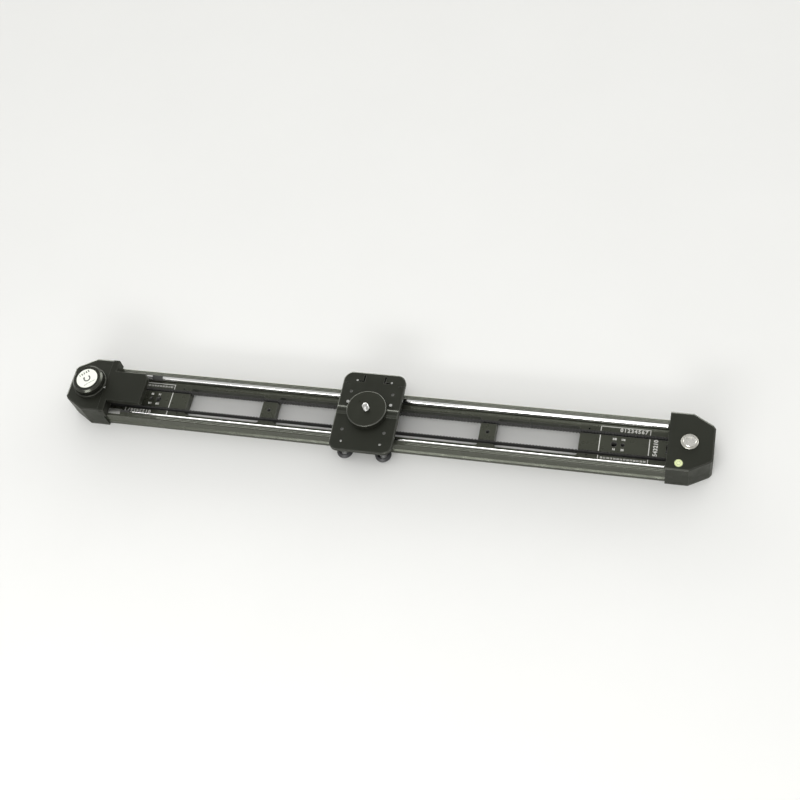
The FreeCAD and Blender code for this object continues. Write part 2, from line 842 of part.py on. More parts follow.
# --------------------------------------------------------------- flywheel end
def make_drive():
    centre = ("-axle_place", "0")
    shaft = cylinder("shaft_radius", (*centre, "shaft_bottom"), "shaft_length")
    thread = cylinder("2.5", (*centre, "48"), "14.1")
    node(cut(shaft, thread), "drive_shaft")
    pulley = turned(pulley_profile("shaft_radius", hub="9.5"), *centre)
    height = "flange_top + hub_height / 2"
    hole = cylinder("set_screw_radius", ("-axle_place - 10", "0", height), "20", "X")
    near, far = "shaft_radius + 0.2", "shaft_radius + 0.2 + set_screw_length"
    screws = []
    for start in (f"-axle_place + {near}", f"-axle_place - ({far})"):
        screws.append(cylinder("set_screw_radius", (start, "0", height), "set_screw_length", "X"))
    node(cut(pulley.body, hole), "drive_pulley")
    node(group(screws), "pulley_set_screws")


def make_flywheel():
    dish = "flywheel_top - badge_depth"
    profile = [
        ("shaft_radius", "base_ring_top - 4.5"), ("hub_radius", "base_ring_top - 4.5"),
        ("hub_radius", "base_ring_top + 2.5"), ("flywheel_radius - 0.8", "base_ring_top + 2.5"),
        ("flywheel_radius", "base_ring_top + 3.3"), ("flywheel_radius", "flywheel_top - flywheel_bevel"),
        ("flywheel_radius - 2.6", "flywheel_top"), ("badge_radius + 0.4", "flywheel_top"),
        ("badge_radius + 0.4", dish), ("5.6", dish), ("5.6", "flywheel_top - 5"),
        ("shaft_radius", "flywheel_top - 5"),
    ]
    node(turned(profile, "-axle_place", "0").body, "flywheel")
    seat = ("-axle_place", "0", "flywheel_top - 5")
    node(screw(5, 4, 2.45, 13, seat), "flywheel_screw")
    badge = cylinder("badge_radius", ("-axle_place", "0", dish), "badge_thickness")
    node(badge, "flywheel_badge")


def make_drive_bearings():
    bore = "shaft_radius + running_clearance"
    low = "flange_bottom - 0.5 - bearing_height"
    node(ring("bearing_radius", bore, low, "flange_bottom - 0.5", "-axle_place", "0"), "lower_drive_bearing")
    top = "housing_top - wall_thickness"
    upper = ring("bearing_radius", bore, f"{top} - bearing_height", top, "-axle_place", "0")
    node(upper, "upper_drive_bearing")


def make_base_ring():
    """The ring round the flywheel's foot, and the small drag screw in its side."""
    profile = [
        ("hub_opening", "housing_top"), ("base_ring_radius", "housing_top"),
        ("base_ring_radius", "base_ring_top - 1"), ("base_ring_radius - 1", "base_ring_top"),
        ("hub_opening", "base_ring_top"),
    ]
    body = turned(profile, "-axle_place", "0").body
    start = ("-axle_place + base_ring_radius - 9", "-6", "housing_top + 3.1")
    hole = cylinder("set_screw_radius", start, "12", "X")
    node(cut(body, hole), "flywheel_base_ring")
    node(cylinder("set_screw_radius", start, "drag_screw_length", "X"), "drag_screw")


def make_bridge_plate():
    """T-shaped plate: its wide end lies in the housing, its tongue reaches over the rail."""
    piece = Piece()
    tongue = piece.sketch("XY", "tongue_bottom")
    inner = "-lip_end + 0.2"
    outline(tongue, [
        (inner, "-tongue_half_width"), ("-tongue_end - 3", "-tongue_half_width"),
        ("-tongue_end", "-tongue_half_width + 3"), ("-tongue_end", "tongue_half_width - 9"),
        ("-tongue_end - 5", "tongue_half_width"), (inner, "tongue_half_width"),
    ])
    piece.pad(tongue, "bridge_top - tongue_bottom")
    wide = piece.sketch("XY", "bridge_seat")
    across = ("-housing_half_width + 0.5", "housing_half_width - 0.5")
    rectangle(wide, ("-bridge_seam", "-lip_end + 1"), across)
    piece.pad(wide, "bridge_top - bridge_seat")
    top = value("bridge_top")
    seam = -value("bridge_seam") + 0.1

    def rim(edge):
        return level_at(edge, top) and max(corner.X for corner in edge.Vertexes) > seam

    piece.fillet("bridge_round", rim)
    clear = piece.sketch("XY", "bridge_top")
    circle(clear, "-axle_place", "0", "base_ring_radius + 0.2")
    piece.pocket(clear, "bridge_top - bridge_seat")
    threads = piece.sketch("XY", "bridge_seat")
    for x, y in BRIDGE_SCREWS:
        circle(threads, x, y, "bridge_hole_radius")
    piece.pocket(threads, "5", backwards=True)
    node(piece.body, "bridge_plate")
    seat = "rail_height + bridge_head_depth"
    screws = [screw(2.75, 3, 1.5, 13, (x, y, seat), "Z", out=-1) for x, y in BRIDGE_SCREWS]
    node(group(screws), "bridge_screws")


# -------------------------------------------------------------------- carriage
def car(x):
    """An X place counted from the carriage's middle."""
    return f"carriage_place + ({x})"


def carriage_blank():
    piece = Piece()
    plan = piece.sketch("XY", "carriage_bottom")
    limits = (car("-carriage_length / 2"), car("carriage_length / 2"))
    rectangle(plan, limits, ("-carriage_width / 2", "carriage_width / 2"))
    piece.pad(plan, "carriage_top - carriage_bottom")
    piece.fillet("carriage_corner", upright)
    top = value("carriage_top")
    piece.bevel("carriage_bevel_drop", "carriage_bevel", lambda edge: level_at(edge, top))
    return piece


def flex_slot(drawing, sign, inset, foot_inset):
    """An L-shaped slot: a leg along the rail's width and a foot along the rail."""
    near, far = car(signed(sign, f"slot_near + {inset}")), car(signed(sign, f"slot_far - {inset}"))
    reach = car(signed(sign, f"slot_reach - {inset}"))
    low, high = f"slot_foot + {foot_inset}", f"slot_foot_end - {foot_inset}"
    foot = [(near, low), (reach, low), (reach, high), (far, high)]
    outline(drawing, foot + [(far, f"slot_end - {inset}"), (near, f"slot_end - {inset}")])


def carriage_cuts(piece):
    """Slots that let the rear roller corners flex, and the holes for what hangs below."""
    for sign in (-1, 1):
        groove = piece.sketch("XY", "carriage_top")
        flex_slot(groove, sign, "0", "0")
        piece.pocket(groove, "slot_depth")
        slit = piece.sketch("XY", "carriage_top")
        flex_slot(slit, sign, "slit_inset", "slit_foot_inset")
        kerf = sorted((car(signed(sign, "kerf_near")), car(signed(sign, "kerf_far"))), key=value)
        rectangle(slit, kerf, ("kerf_low", "kerf_high"))
        piece.pocket(slit, "carriage_top - carriage_bottom")
    holes = piece.sketch("XY", "carriage_top")
    for x, side in ROLLERS.values():
        circle(holes, car(x), signed(side, "roller_offset"), "roller_axle_end_radius + 0.1")
    for x, side in SHOES.values():
        circle(holes, car(x), signed(side, "shoe_across"), "1.6")
    for x, y in DISC_SCREWS:
        circle(holes, car(x), y, "bolt_hole_radius")
    for x in CLAMP_SCREWS:
        circle(holes, car(x), "clamp_screw_across", "bolt_hole_radius")
    piece.pocket(holes, "carriage_top - carriage_bottom")
    sinks = piece.sketch("XY", "carriage_top")
    for x, side in SHOES.values():
        circle(sinks, car(x), signed(side, "shoe_across"), "2.5")
    piece.pocket(sinks, "shoe_sink")


def make_carriage_plate():
    piece = carriage_blank()
    carriage_cuts(piece)
    rib_radius = "(rib_half_width ^ 2 + rib_height ^ 2) / (2 * rib_height)"
    start = (car("carriage_bevel - carriage_length / 2"), "0", f"carriage_top + rib_height - {rib_radius}")
    bar = cylinder(rib_radius, start, "carriage_length - 2 * carriage_bevel", "X")
    limits = (car("-carriage_length / 2"), car("carriage_length / 2"))
    across = ("-rib_half_width", "rib_half_width")
    rib = common(bar, box(limits, across, ("carriage_top - 0.5", "carriage_top + rib_height")))
    bore = cylinder("stud_shoulder_radius + running_clearance", (car(0), "0", "carriage_bottom"), "20")
    rear = [x for x, side in ROLLERS.values() if side > 0]
    starts = [(car(x), "preload_place - 0.5", "preload_height") for x in rear]
    screw_holes = [cylinder("set_screw_radius", start, "12", "Y") for start in starts]
    node(cut(fuse(piece.body, rib), bore, *screw_holes), "carriage_plate")


def make_disc_and_stud():
    bore = "stud_shoulder_radius + running_clearance"
    profile = [
        (bore, "carriage_top"), ("disc_radius - 0.6", "carriage_top"),
        ("disc_radius", "carriage_top + 0.6"), ("disc_radius", "disc_top"), (bore, "disc_top"),
    ]
    disc = turned(profile, car(0), "0")
    top = value("disc_top")
    widest = value("disc_radius - 1")
    disc.fillet("disc_round", lambda edge: level_at(edge, top) and edge.Curve.Radius > widest)
    rib_room = box((car(-40), car(40)), ("-rib_half_width - 0.1", "rib_half_width + 0.1"),
                   ("carriage_top - 1", "carriage_top + rib_height + 0.1"))
    threads = [cylinder("2", (car(x), y, "carriage_top - 1"), "8") for x, y in DISC_SCREWS]
    node(cut(disc.body, rib_room, *threads), "mount_disc")
    under = "carriage_bottom - stud_head_height"
    stud = turned([
        ("0", under), ("stud_head_radius - 0.6", under), ("stud_head_radius", f"{under} + 0.6"),
        ("stud_head_radius", "carriage_bottom"), ("stud_shoulder_radius", "carriage_bottom"),
        ("stud_shoulder_radius", "disc_top"), ("stud_radius", "disc_top"), ("stud_radius", "stud_top - 0.9"),
        ("stud_radius - 0.9", "stud_top"), ("0", "stud_top"),
    ], car(0), "0")
    socket = hexagon("4", (car(0), "0", under), "3")
    node(cut(stud.body, socket), "camera_stud")
    screws = [screw(3.3, 3, 1.95, 13, (car(x), y, "carriage_bottom"), "Z", out=-1) for x, y in DISC_SCREWS]
    node(group(screws), "disc_screws")


def make_belt_clamp():
    """A block and a jaw under the plate that hold the rear run of the belt between them."""
    belt_inner = "belt_radius - belt_thickness / 2"
    belt_outer = "belt_radius + belt_thickness / 2"
    along = (car("-clamp_half_length"), car("clamp_half_length"))
    low = "floor_top + clamp_lift"
    block = box(along, ("clamp_inner", f"{belt_inner} - gap"), (low, "carriage_bottom"))
    jaw = box(along, (f"{belt_outer} + gap", "clamp_outer"), (low, "carriage_bottom"))
    middles = [(car(x), "clamp_outer", "jaw_screw_height") for x in JAW_SCREWS]
    block_holes = [cylinder("1.45", (x, "clamp_inner + 1", z), "8", "Y") for x, y, z in middles]
    spots = [(car(x), "clamp_screw_across") for x in CLAMP_SCREWS]
    block_holes += [cylinder("2", (*spot, "carriage_bottom - 10"), "12") for spot in spots]
    jaw_holes = [cylinder("1.55", (x, "clamp_inner + 7", z), "8", "Y") for x, y, z in middles]
    node(cut(block, *block_holes), "belt_clamp_block")
    node(cut(jaw, *jaw_holes), "belt_clamp_jaw")
    down = [screw(2.4, 1.4, 1.95, 16, (*spot, "carriage_top")) for spot in spots]
    node(group(down), "clamp_screws")
    node(group([screw(2.8, 2.4, 1.4, 11, middle, "Y") for middle in middles]), "jaw_screws")


def rod_shoe(x, side):
    """A low-friction pad under the plate, hollowed to follow the rod below it."""
    along = (car(f"{x} - shoe_half_length"), car(f"{x} + shoe_half_length"))
    inner = sorted((signed(side, "shoe_inner"), signed(side, "wall_inner - gap - 0.05")), key=value)
    outer = sorted((signed(side, "shoe_step"), signed(side, "shoe_outer")), key=value)
    leg = box(along, inner, ("rod_height + 1", "carriage_bottom"))
    cap = box(along, outer, ("rail_height + 0.5", "carriage_bottom"))
    start = (along[0], signed(side, "rod_offset"), "rod_height")
    hollow = cylinder("rod_radius + gap", start, "2 * shoe_half_length", "X")
    thread = cylinder("1.45", (car(x), signed(side, "shoe_across"), "rail_height + 2"), "8")
    return cut(fuse(leg, cap), hollow, thread)


def make_shoes():
    for name, (x, side) in SHOES.items():
        node(rod_shoe(x, side), "rod_shoe_" + name)
    seats = [(car(x), signed(side, "shoe_across"), "carriage_top - shoe_sink") for x, side in SHOES.values()]
    node(group([screw(2.3, 3, 1.4, 8, seat) for seat in seats]), "shoe_screws")


def roller_axle(x, y):
    """A stepped stud through the roller; its thinner end stands flush in the plate."""
    low, top = "track_height - nut_depth - 0.5", "carriage_top"
    profile = [
        ("0", low), ("roller_axle_radius", low), ("roller_axle_radius", "carriage_bottom"),
        ("roller_axle_end_radius", "carriage_bottom"), ("roller_axle_end_radius", f"{top} - 0.3"),
        ("roller_axle_end_radius - 0.3", top), ("0", top),
    ]
    stud = turned(profile, x, y)
    return cut(stud.body, hexagon("0.8", (x, y, f"{top} - 2"), "3"))


def make_rollers():
    middle = "track_height"
    bore = "roller_axle_radius + running_clearance"
    half = "roller_half_width"
    edge = f"roller_radius - {half} + track_root"
    axles, sleeves, nuts, preload = [], [], [], []
    for name, (x, side) in ROLLERS.items():
        spot = (car(x), signed(side, "roller_offset"))
        profile = [
            ("roller_bore", f"{middle} - {half}"), (edge, f"{middle} - {half}"),
            ("roller_radius", f"{middle} - track_root"), ("roller_radius", f"{middle} + track_root"),
            (edge, f"{middle} + {half}"), ("roller_bore", f"{middle} + {half}"),
        ]
        node(turned(profile, *spot).body, "roller_" + name)
        faces = (f"{middle} - roller_bearing_half", f"{middle} + roller_bearing_half")
        node(ring("roller_bore", bore, *faces, *spot), "roller_bearing_" + name)
        axles.append(roller_axle(*spot))
        reach = (f"{middle} + sleeve_foot", "carriage_bottom")
        sleeves.append(ring("sleeve_radius", "roller_axle_radius + 0.1", *reach, *spot))
        foot = (*spot, f"{middle} - nut_depth")
        nut = hexagon("nut_radius", foot, "nut_height")
        nuts.append(cut(nut, cylinder("roller_axle_radius", foot, "nut_height")))
        if side > 0:
            start = (car(x), "preload_place", "preload_height")
            end = (car(x), "preload_place + 8", "preload_height")
            slug = cylinder("set_screw_radius", start, "preload_length", "Y")
            preload.append(cut(slug, hexagon("0.9", end, "2", "Y")))
    node(group(axles), "roller_axles")
    node(group(sleeves), "roller_sleeves")
    node(group(nuts), "roller_nuts")
    node(group(preload), "preload_screws")


# ------------------------------------------------------------------- the build
def build():
    make_rail()
    make_rods()
    make_rod_stops()
    make_belt()
    make_right_housing()
    make_left_housing()
    make_base_plates()
    make_housing_screws()
    make_idler_axle()
    make_idler_pulley()
    make_bubble_level()
    make_drive()
    make_flywheel()
    make_drive_bearings()
    make_base_ring()
    make_bridge_plate()
    make_carriage_plate()
    make_disc_and_stud()
    make_belt_clamp()
    make_shoes()
    make_rollers()
    doc.recompute()


def check():
    for thing in doc.Objects:
        if {"Invalid", "Error"} & set(thing.State):
            raise ValueError(f"{thing.Label} failed: {thing.State}")
    for thing in nodes:
        if thing.Shape.isNull() or not thing.Shape.isValid() or not thing.Shape.Solids:
            raise ValueError(f"{thing.Label} has no valid solid")


def export():
    os.makedirs("parts", exist_ok=True)
    for thing in nodes:
        thing.Shape.exportStep(f"parts/{thing.Label}.step")
        print(thing.Label, len(thing.Shape.Solids), round(thing.Shape.Volume))


build()
check()
export()
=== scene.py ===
"""Looks for the camera slider: finishes, printed marks, threads, belt teeth, lights and camera.

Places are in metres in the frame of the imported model: X along the rail, Z up, and the
flywheel at the -X end. A size written in millimetres is multiplied by MM.
"""
import math

import bmesh
import bpy
from mathutils import Matrix, Vector


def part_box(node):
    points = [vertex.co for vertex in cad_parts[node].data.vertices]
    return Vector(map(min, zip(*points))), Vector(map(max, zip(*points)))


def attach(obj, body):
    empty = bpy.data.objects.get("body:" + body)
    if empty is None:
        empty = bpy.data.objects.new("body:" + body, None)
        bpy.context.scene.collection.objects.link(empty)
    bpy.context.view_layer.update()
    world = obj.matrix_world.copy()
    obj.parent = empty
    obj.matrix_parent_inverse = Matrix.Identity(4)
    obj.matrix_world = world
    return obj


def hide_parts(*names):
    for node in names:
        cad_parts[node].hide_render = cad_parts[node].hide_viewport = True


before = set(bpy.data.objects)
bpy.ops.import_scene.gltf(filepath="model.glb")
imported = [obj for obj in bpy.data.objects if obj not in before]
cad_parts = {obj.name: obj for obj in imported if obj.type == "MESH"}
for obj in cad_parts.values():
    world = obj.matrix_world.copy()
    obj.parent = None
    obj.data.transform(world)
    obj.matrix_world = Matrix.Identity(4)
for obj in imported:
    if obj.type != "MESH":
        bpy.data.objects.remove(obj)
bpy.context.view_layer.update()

MM = 0.001
TAU = 2 * math.pi


# ------------------------------------------------------------- places from the frame
def middle(node):
    low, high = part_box(node)
    return (low + high) / 2


FLOOR_BOTTOM = 4 * MM
FLOOR_TOP = 18 * MM
DRIVE_AXLE = middle("flywheel")
IDLER_AXLE = middle("idler_pulley")
CARRIAGE = middle("mount_disc")
STUD_HOLE = 374.3 * MM
SCREW_HOLE = 387.3 * MM
WEB_HOLE = 180 * MM
BELT_RADIUS = 17.3 * MM
TOOTH_PITCH = 5 * MM
SLOT_INNER = 14.0 * MM
SLOT_OUTER = 20.6 * MM
INK_DEPTH = 0.06 * MM
LARGE_THREAD = 4.7625 * MM
SMALL_THREAD = 3.175 * MM
LARGE_PITCH = 25.4 / 16 * MM
SMALL_PITCH = 25.4 / 20 * MM
RING_REPEAT = 0.314  # how far apart the rings of a ring wave are at a scale of 1


# ------------------------------------------------------------------------- materials
class Finish:
    """A material on a Principled shader, and the procedural detail that drives it."""

    def __init__(self, name, colour, roughness, metallic=0.0):
        self.material = bpy.data.materials.new(name)
        self.material.use_nodes = True
        self.tree = self.material.node_tree
        self.shader = self.tree.nodes["Principled BSDF"]
        self.shader.inputs["Base Color"].default_value = (*colour, 1)
        self.shader.inputs["Roughness"].default_value = roughness
        self.shader.inputs["Metallic"].default_value = metallic
        self.heights = []

    def node(self, kind, **settings):
        made = self.tree.nodes.new("ShaderNode" + kind)
        for name, number in settings.items():
            setattr(made, name, number)
        return made

    def join(self, output, socket):
        self.tree.links.new(output, socket)

    def set(self, socket, number):
        self.shader.inputs[socket].default_value = number

    def drive(self, socket, output):
        self.join(output, self.shader.inputs[socket])

    def place(self, stretch=(1, 1, 1), about=(0, 0, 0)):
        """Object coordinates counted from a point, and stretched along each axis."""
        coordinates = self.node("TexCoord")
        mapping = self.node("Mapping", vector_type="POINT")
        mapping.inputs["Scale"].default_value = [1 / s for s in stretch]
        mapping.inputs["Location"].default_value = [-a / s for a, s in zip(about, stretch)]
        self.join(coordinates.outputs["Object"], mapping.inputs["Vector"])
        return mapping.outputs["Vector"]

    def noise(self, grain, stretch=(1, 1, 1), detail=3.0, roughness=0.55):
        """Noise whose features are about grain millimetres across."""
        made = self.node("TexNoise")
        made.inputs["Scale"].default_value = 1 / (grain * MM)
        made.inputs["Detail"].default_value = detail
        made.inputs["Roughness"].default_value = roughness
        self.join(self.place(stretch), made.inputs["Vector"])
        return made.outputs["Fac"]

    def rings(self, centre, spacing):
        """Turning marks: rings about a vertical axis, spacing millimetres apart."""
        wobble = 0.4
        made = self.node("TexWave", wave_type="RINGS", rings_direction="Z")
        made.inputs["Scale"].default_value = RING_REPEAT / (spacing * MM)
        made.inputs["Distortion"].default_value = wobble
        made.inputs["Detail"].default_value = 2.0
        self.join(self.place(about=centre), made.inputs["Vector"])
        return made.outputs["Fac"]

    def spread(self, factor, low, high, start=0.0, end=1.0):
        """The factor, taken from start..end to low..high."""
        made = self.node("MapRange")
        made.inputs["From Min"].default_value = start
        made.inputs["From Max"].default_value = end
        made.inputs["To Min"].default_value = low
        made.inputs["To Max"].default_value = high
        self.join(factor, made.inputs["Value"])
        return made.outputs["Result"]

    def times(self, first, second):
        made = self.node("Math", operation="MULTIPLY")
        self.join(first, made.inputs[0])
        self.join(second, made.inputs[1])
        return made.outputs["Value"]

    def tint(self, factor, first, second):
        """first where the factor is 0, second where it is 1; either may be a colour or an output."""
        made = self.node("Mix", data_type="RGBA")
        self.join(factor, made.inputs["Factor"])
        for number, colour in ((6, first), (7, second)):
            if isinstance(colour, bpy.types.NodeSocket):
                self.join(colour, made.inputs[number])
            else:
                made.inputs[number].default_value = (*colour, 1)
        return made.outputs[2]

    def worn_edges(self, radius, share):
        """Up to share on sharp outer edges, within radius millimetres of them, and 0 elsewhere."""
        rounded, flat = 0.86, 0.985
        bevel = self.node("Bevel", samples=4)
        bevel.inputs["Radius"].default_value = radius * MM
        geometry = self.node("NewGeometry")
        likeness = self.node("VectorMath", operation="DOT_PRODUCT")
        self.join(bevel.outputs["Normal"], likeness.inputs[0])
        self.join(geometry.outputs["Normal"], likeness.inputs[1])
        edge = self.spread(likeness.outputs["Value"], 1, 0, rounded, flat)
        rubbed = self.spread(self.noise(6, detail=4), share / 2, share, 0.35, 0.65)
        return self.times(edge, rubbed)

    def rubbed_rim(self, centre, radius, share):
        """share on what faces up outside a radius, in millimetres, about a vertical axis."""
        fade, steep, gentle = 0.3, 0.15, 0.35
        flat = self.node("VectorMath", operation="MULTIPLY")
        flat.inputs[1].default_value = (1, 1, 0)
        self.join(self.place(about=centre), flat.inputs[0])
        reach = self.node("VectorMath", operation="LENGTH")
        self.join(flat.outputs["Vector"], reach.inputs[0])
        outside = self.spread(reach.outputs["Value"], 0, share, radius * MM, (radius + fade) * MM)
        return self.times(outside, self.spread(self.upwards(), 0, 1, steep, gentle))

    def bevels(self):
        """1 on the faces that lean about 25 degrees from level, which are the machined bevels."""
        steepest, steep, gentle, gentlest = 0.84, 0.88, 0.93, 0.96
        leaning = self.spread(self.upwards(), 0, 1, steepest, steep)
        return self.times(leaning, self.spread(self.upwards(), 1, 0, gentle, gentlest))

    def upwards(self):
        """How far a face looks up: 1 when level, 0 when upright."""
        geometry = self.node("NewGeometry")
        split = self.node("SeparateXYZ")
        self.join(geometry.outputs["Normal"], split.inputs["Vector"])
        return split.outputs["Z"]

    def either(self, first, second):
        """The larger of two factors."""
        made = self.node("Math", operation="MAXIMUM")
        self.join(first, made.inputs[0])
        self.join(second, made.inputs[1])
        return made.outputs["Value"]

    def bump(self, factor, depth):
        """A relief of depth millimetres, laid over the earlier ones."""
        made = self.node("Bump")
        made.inputs["Strength"].default_value = 1.0
        made.inputs["Distance"].default_value = depth * MM
        self.join(factor, made.inputs["Height"])
        if self.heights:
            self.join(self.heights[-1], made.inputs["Normal"])
        self.heights.append(made.outputs["Normal"])
        self.drive("Normal", made.outputs["Normal"])


def scaled(colour, share):
    return tuple(part * share for part in colour)


ANODISED = (0.0110, 0.0115, 0.0085)
ANODISED_SHEEN = (0.95, 1.0, 0.84, 1)
DUST = (0.030, 0.031, 0.025)
# Bare aluminium colour for worn edges, bevels and rims; it is also a painted highlight there.
BARE_METAL_AND_HIGHLIGHT = (0.30, 0.30, 0.28)


def anodised(name, roughness, lines=None, centre=None, rim=None, rubbed=0.1, lightness=1.0, edge_wear_and_highlight=0.5,
             specular=0.42):
    """Bead-blasted black anodising, with die lines along an extrusion or rings on a turned part.

    It is smoother on the machined bevels or, on a turned part, outside the radius rim. rubbed and the
    edge share say how much bare-metal colour is painted there and on the sharp edges: partly wear, and
    partly a painted highlight of the bright backdrop that these edges catch.
    """
    coated, bare = 0.2, 0.9
    made = Finish(name, scaled(ANODISED, lightness), roughness, coated)
    made.set("Specular IOR Level", specular)
    made.set("Specular Tint", ANODISED_SHEEN)
    cloud = made.noise(55, detail=4)
    body = made.tint(cloud, scaled(ANODISED, 0.8 * lightness), scaled(ANODISED, 1.2 * lightness))
    dust = made.spread(made.noise(1.6, detail=6, roughness=0.7), 0, 0.5, 0.66, 0.80)
    dusty = made.tint(dust, body, DUST)
    # Bare-metal colour on the sharp edges: partly wear, and partly a painted highlight of the bright
    # backdrop.
    bare_share = made.worn_edges(0.8, edge_wear_and_highlight)
    # Bare-metal colour on the bevels, or outside the rim of a turned part: partly polish, and partly a
    # painted highlight of the bright backdrop on these slopes.
    polish_and_highlight = made.rubbed_rim(centre, rim, 1.0) if rim else made.bevels()
    bare_share = made.either(bare_share, made.spread(polish_and_highlight, 0, rubbed))
    made.drive("Base Color", made.tint(bare_share, dusty, BARE_METAL_AND_HIGHLIGHT))
    made.drive("Metallic", made.spread(bare_share, coated, bare))
    handled = made.noise(14, detail=5, roughness=0.6)
    satin = made.spread(handled, roughness - 0.07, roughness + 0.09, 0.3, 0.7)
    smoother = made.times(made.spread(bare_share, 1.0, 0.6), made.spread(polish_and_highlight, 1.0, 0.45))
    made.drive("Roughness", made.times(satin, smoother))
    made.bump(made.noise(0.28, detail=2), 0.006)
    if lines:
        made.bump(made.noise(0.9, stretch=lines, detail=1), 0.002)
    if centre is not None:
        made.bump(made.rings(centre, 0.7), 0.0015)
    return made.material


def rod_steel():
    """Ground and chromed rod, with faint travel marks along it."""
    made = Finish("rod_steel", (0.80, 0.80, 0.79), 0.09, 1.0)
    ground = made.noise(0.6, stretch=(0.25, 12, 12), detail=3)
    rubbed = made.noise(1.4, stretch=(160, 1, 1), detail=4)
    made.drive("Roughness", made.spread(rubbed, 0.06, 0.17, 0.35, 0.7))
    film = made.spread(made.noise(30, stretch=(3, 1, 1), detail=4), 0, 0.5, 0.5, 0.8)
    made.drive("Base Color", made.tint(film, (0.82, 0.82, 0.81), (0.66, 0.66, 0.64)))
    made.bump(ground, 0.0012)
    return made.material


def turned_steel(name, centre, colour, roughness):
    """Bright steel with turning marks about its own axis and a few handling marks."""
    made = Finish(name, colour, roughness, 1.0)
    rings = made.rings(centre, spacing=0.8)
    marks = made.noise(2.2, detail=6, roughness=0.7)
    made.drive("Roughness", made.spread(marks, roughness - 0.08, roughness + 0.16, 0.35, 0.72))
    stain = made.spread(made.noise(5, detail=3), 0, 0.6, 0.5, 0.8)
    made.drive("Base Color", made.tint(stain, colour, scaled(colour, 0.72)))
    made.bump(rings, 0.0012)
    return made.material


def plain_steel(name, colour, roughness=0.24):
    """Zinc-bright fastener steel, lightly mottled."""
    made = Finish(name, colour, roughness, 1.0)
    mottle = made.noise(0.9, detail=5)
    made.drive("Roughness", made.spread(mottle, roughness - 0.06, roughness + 0.14, 0.3, 0.7))
    made.drive("Base Color", made.tint(made.noise(2.5), colour, scaled(colour, 0.75)))
    made.bump(made.noise(0.25, detail=2), 0.004)
    return made.material


def oxide_steel():
    """Black-oxide screw steel, with the oxide thinned on its edges."""
    made = Finish("oxide_steel", (0.035, 0.034, 0.034), 0.36, 0.85)
    oil = made.noise(1.2, detail=4)
    made.drive("Roughness", made.spread(oil, 0.28, 0.48, 0.3, 0.7))
    bare_share = made.worn_edges(0.25, 0.6)
    made.drive("Base Color", made.tint(bare_share, (0.035, 0.034, 0.034), (0.30, 0.29, 0.28)))
    made.bump(made.noise(0.2, detail=2), 0.004)
    return made.material


def machined_aluminium(name, centre):
    made = Finish(name, (0.70, 0.70, 0.70), 0.3, 1.0)
    haze = made.noise(3, detail=4)
    made.drive("Roughness", made.spread(haze, 0.24, 0.42, 0.3, 0.7))
    made.drive("Base Color", made.tint(haze, (0.66, 0.66, 0.66), (0.76, 0.76, 0.75)))
    made.bump(made.rings(centre, 0.5), 0.0015)
    return made.material


def acetal():
    """Black low-friction plastic for the shoes and rollers, lightly scuffed along the rail."""
    made = Finish("acetal", (0.018, 0.018, 0.019), 0.45)
    scuff = made.noise(1.8, stretch=(5, 1, 1), detail=5, roughness=0.65)
    made.drive("Roughness", made.spread(scuff, 0.34, 0.58, 0.3, 0.7))
    made.drive("Base Color", made.tint(scuff, (0.014, 0.014, 0.015), (0.032, 0.032, 0.033)))
    made.bump(made.noise(0.35, detail=3), 0.008)
    return made.material


def belt_rubber():
    """Black polyurethane with a fine nap like a fabric's."""
    made = Finish("belt_rubber", (0.020, 0.020, 0.018), 0.6)
    made.set("Sheen Weight", 0.12)
    made.set("Sheen Roughness", 0.5)
    nap = made.noise(0.45, stretch=(3, 1, 1), detail=4)
    made.drive("Base Color", made.tint(nap, (0.014, 0.014, 0.013), (0.034, 0.034, 0.031)))
    made.drive("Roughness", made.spread(nap, 0.55, 0.8, 0.3, 0.7))
    made.bump(nap, 0.03)
    return made.material


def moulded_grey():
    """Dark grey moulded plastic with a fine mould texture."""
    made = Finish("moulded_grey", (0.045, 0.045, 0.042), 0.6)
    grain = made.noise(0.6, detail=4)
    made.drive("Base Color", made.tint(grain, (0.036, 0.036, 0.034), (0.056, 0.056, 0.052)))
    made.drive("Roughness", made.spread(grain, 0.5, 0.72, 0.3, 0.7))
    made.bump(grain, 0.012)
    return made.material


def acrylic():
    """Moulded clear acrylic, with the yellow-green light from the liquid beside it painted into its
    colour.
    """
    made = Finish("acrylic", (0.70, 0.78, 0.42), 0.16)
    made.set("Transmission Weight", 0.25)
    made.set("IOR", 1.49)
    haze = made.noise(1.2, detail=3)
    made.drive("Base Color", made.tint(haze, (0.66, 0.74, 0.36), (0.74, 0.81, 0.48)))
    made.drive("Roughness", made.spread(haze, 0.12, 0.24))
    return made.material


def ink(name, colour):
    """Screen-printed ink: slightly thin and uneven."""
    made = Finish(name, colour, 0.5)
    thin = made.noise(1.1, detail=5, roughness=0.7)
    made.drive("Base Color", made.tint(made.spread(thin, 0, 1, 0.35, 0.75), colour, scaled(colour, 0.74)))
    made.drive("Roughness", made.spread(thin, 0.42, 0.62, 0.3, 0.7))
    made.bump(made.noise(0.3, detail=2), 0.01)
    return made.material


def sticker():
    """Glossy white label stock with a faint grain and finger marks."""
    made = Finish("sticker", (0.90, 0.92, 0.84), 0.34)
    smudge = made.noise(7, detail=5, roughness=0.6)
    made.drive("Base Color", made.tint(smudge, (0.86, 0.88, 0.80), (0.93, 0.95, 0.87)))
    made.drive("Roughness", made.spread(smudge, 0.26, 0.46, 0.3, 0.7))
    made.bump(made.noise(0.5, detail=3), 0.012)
    return made.material


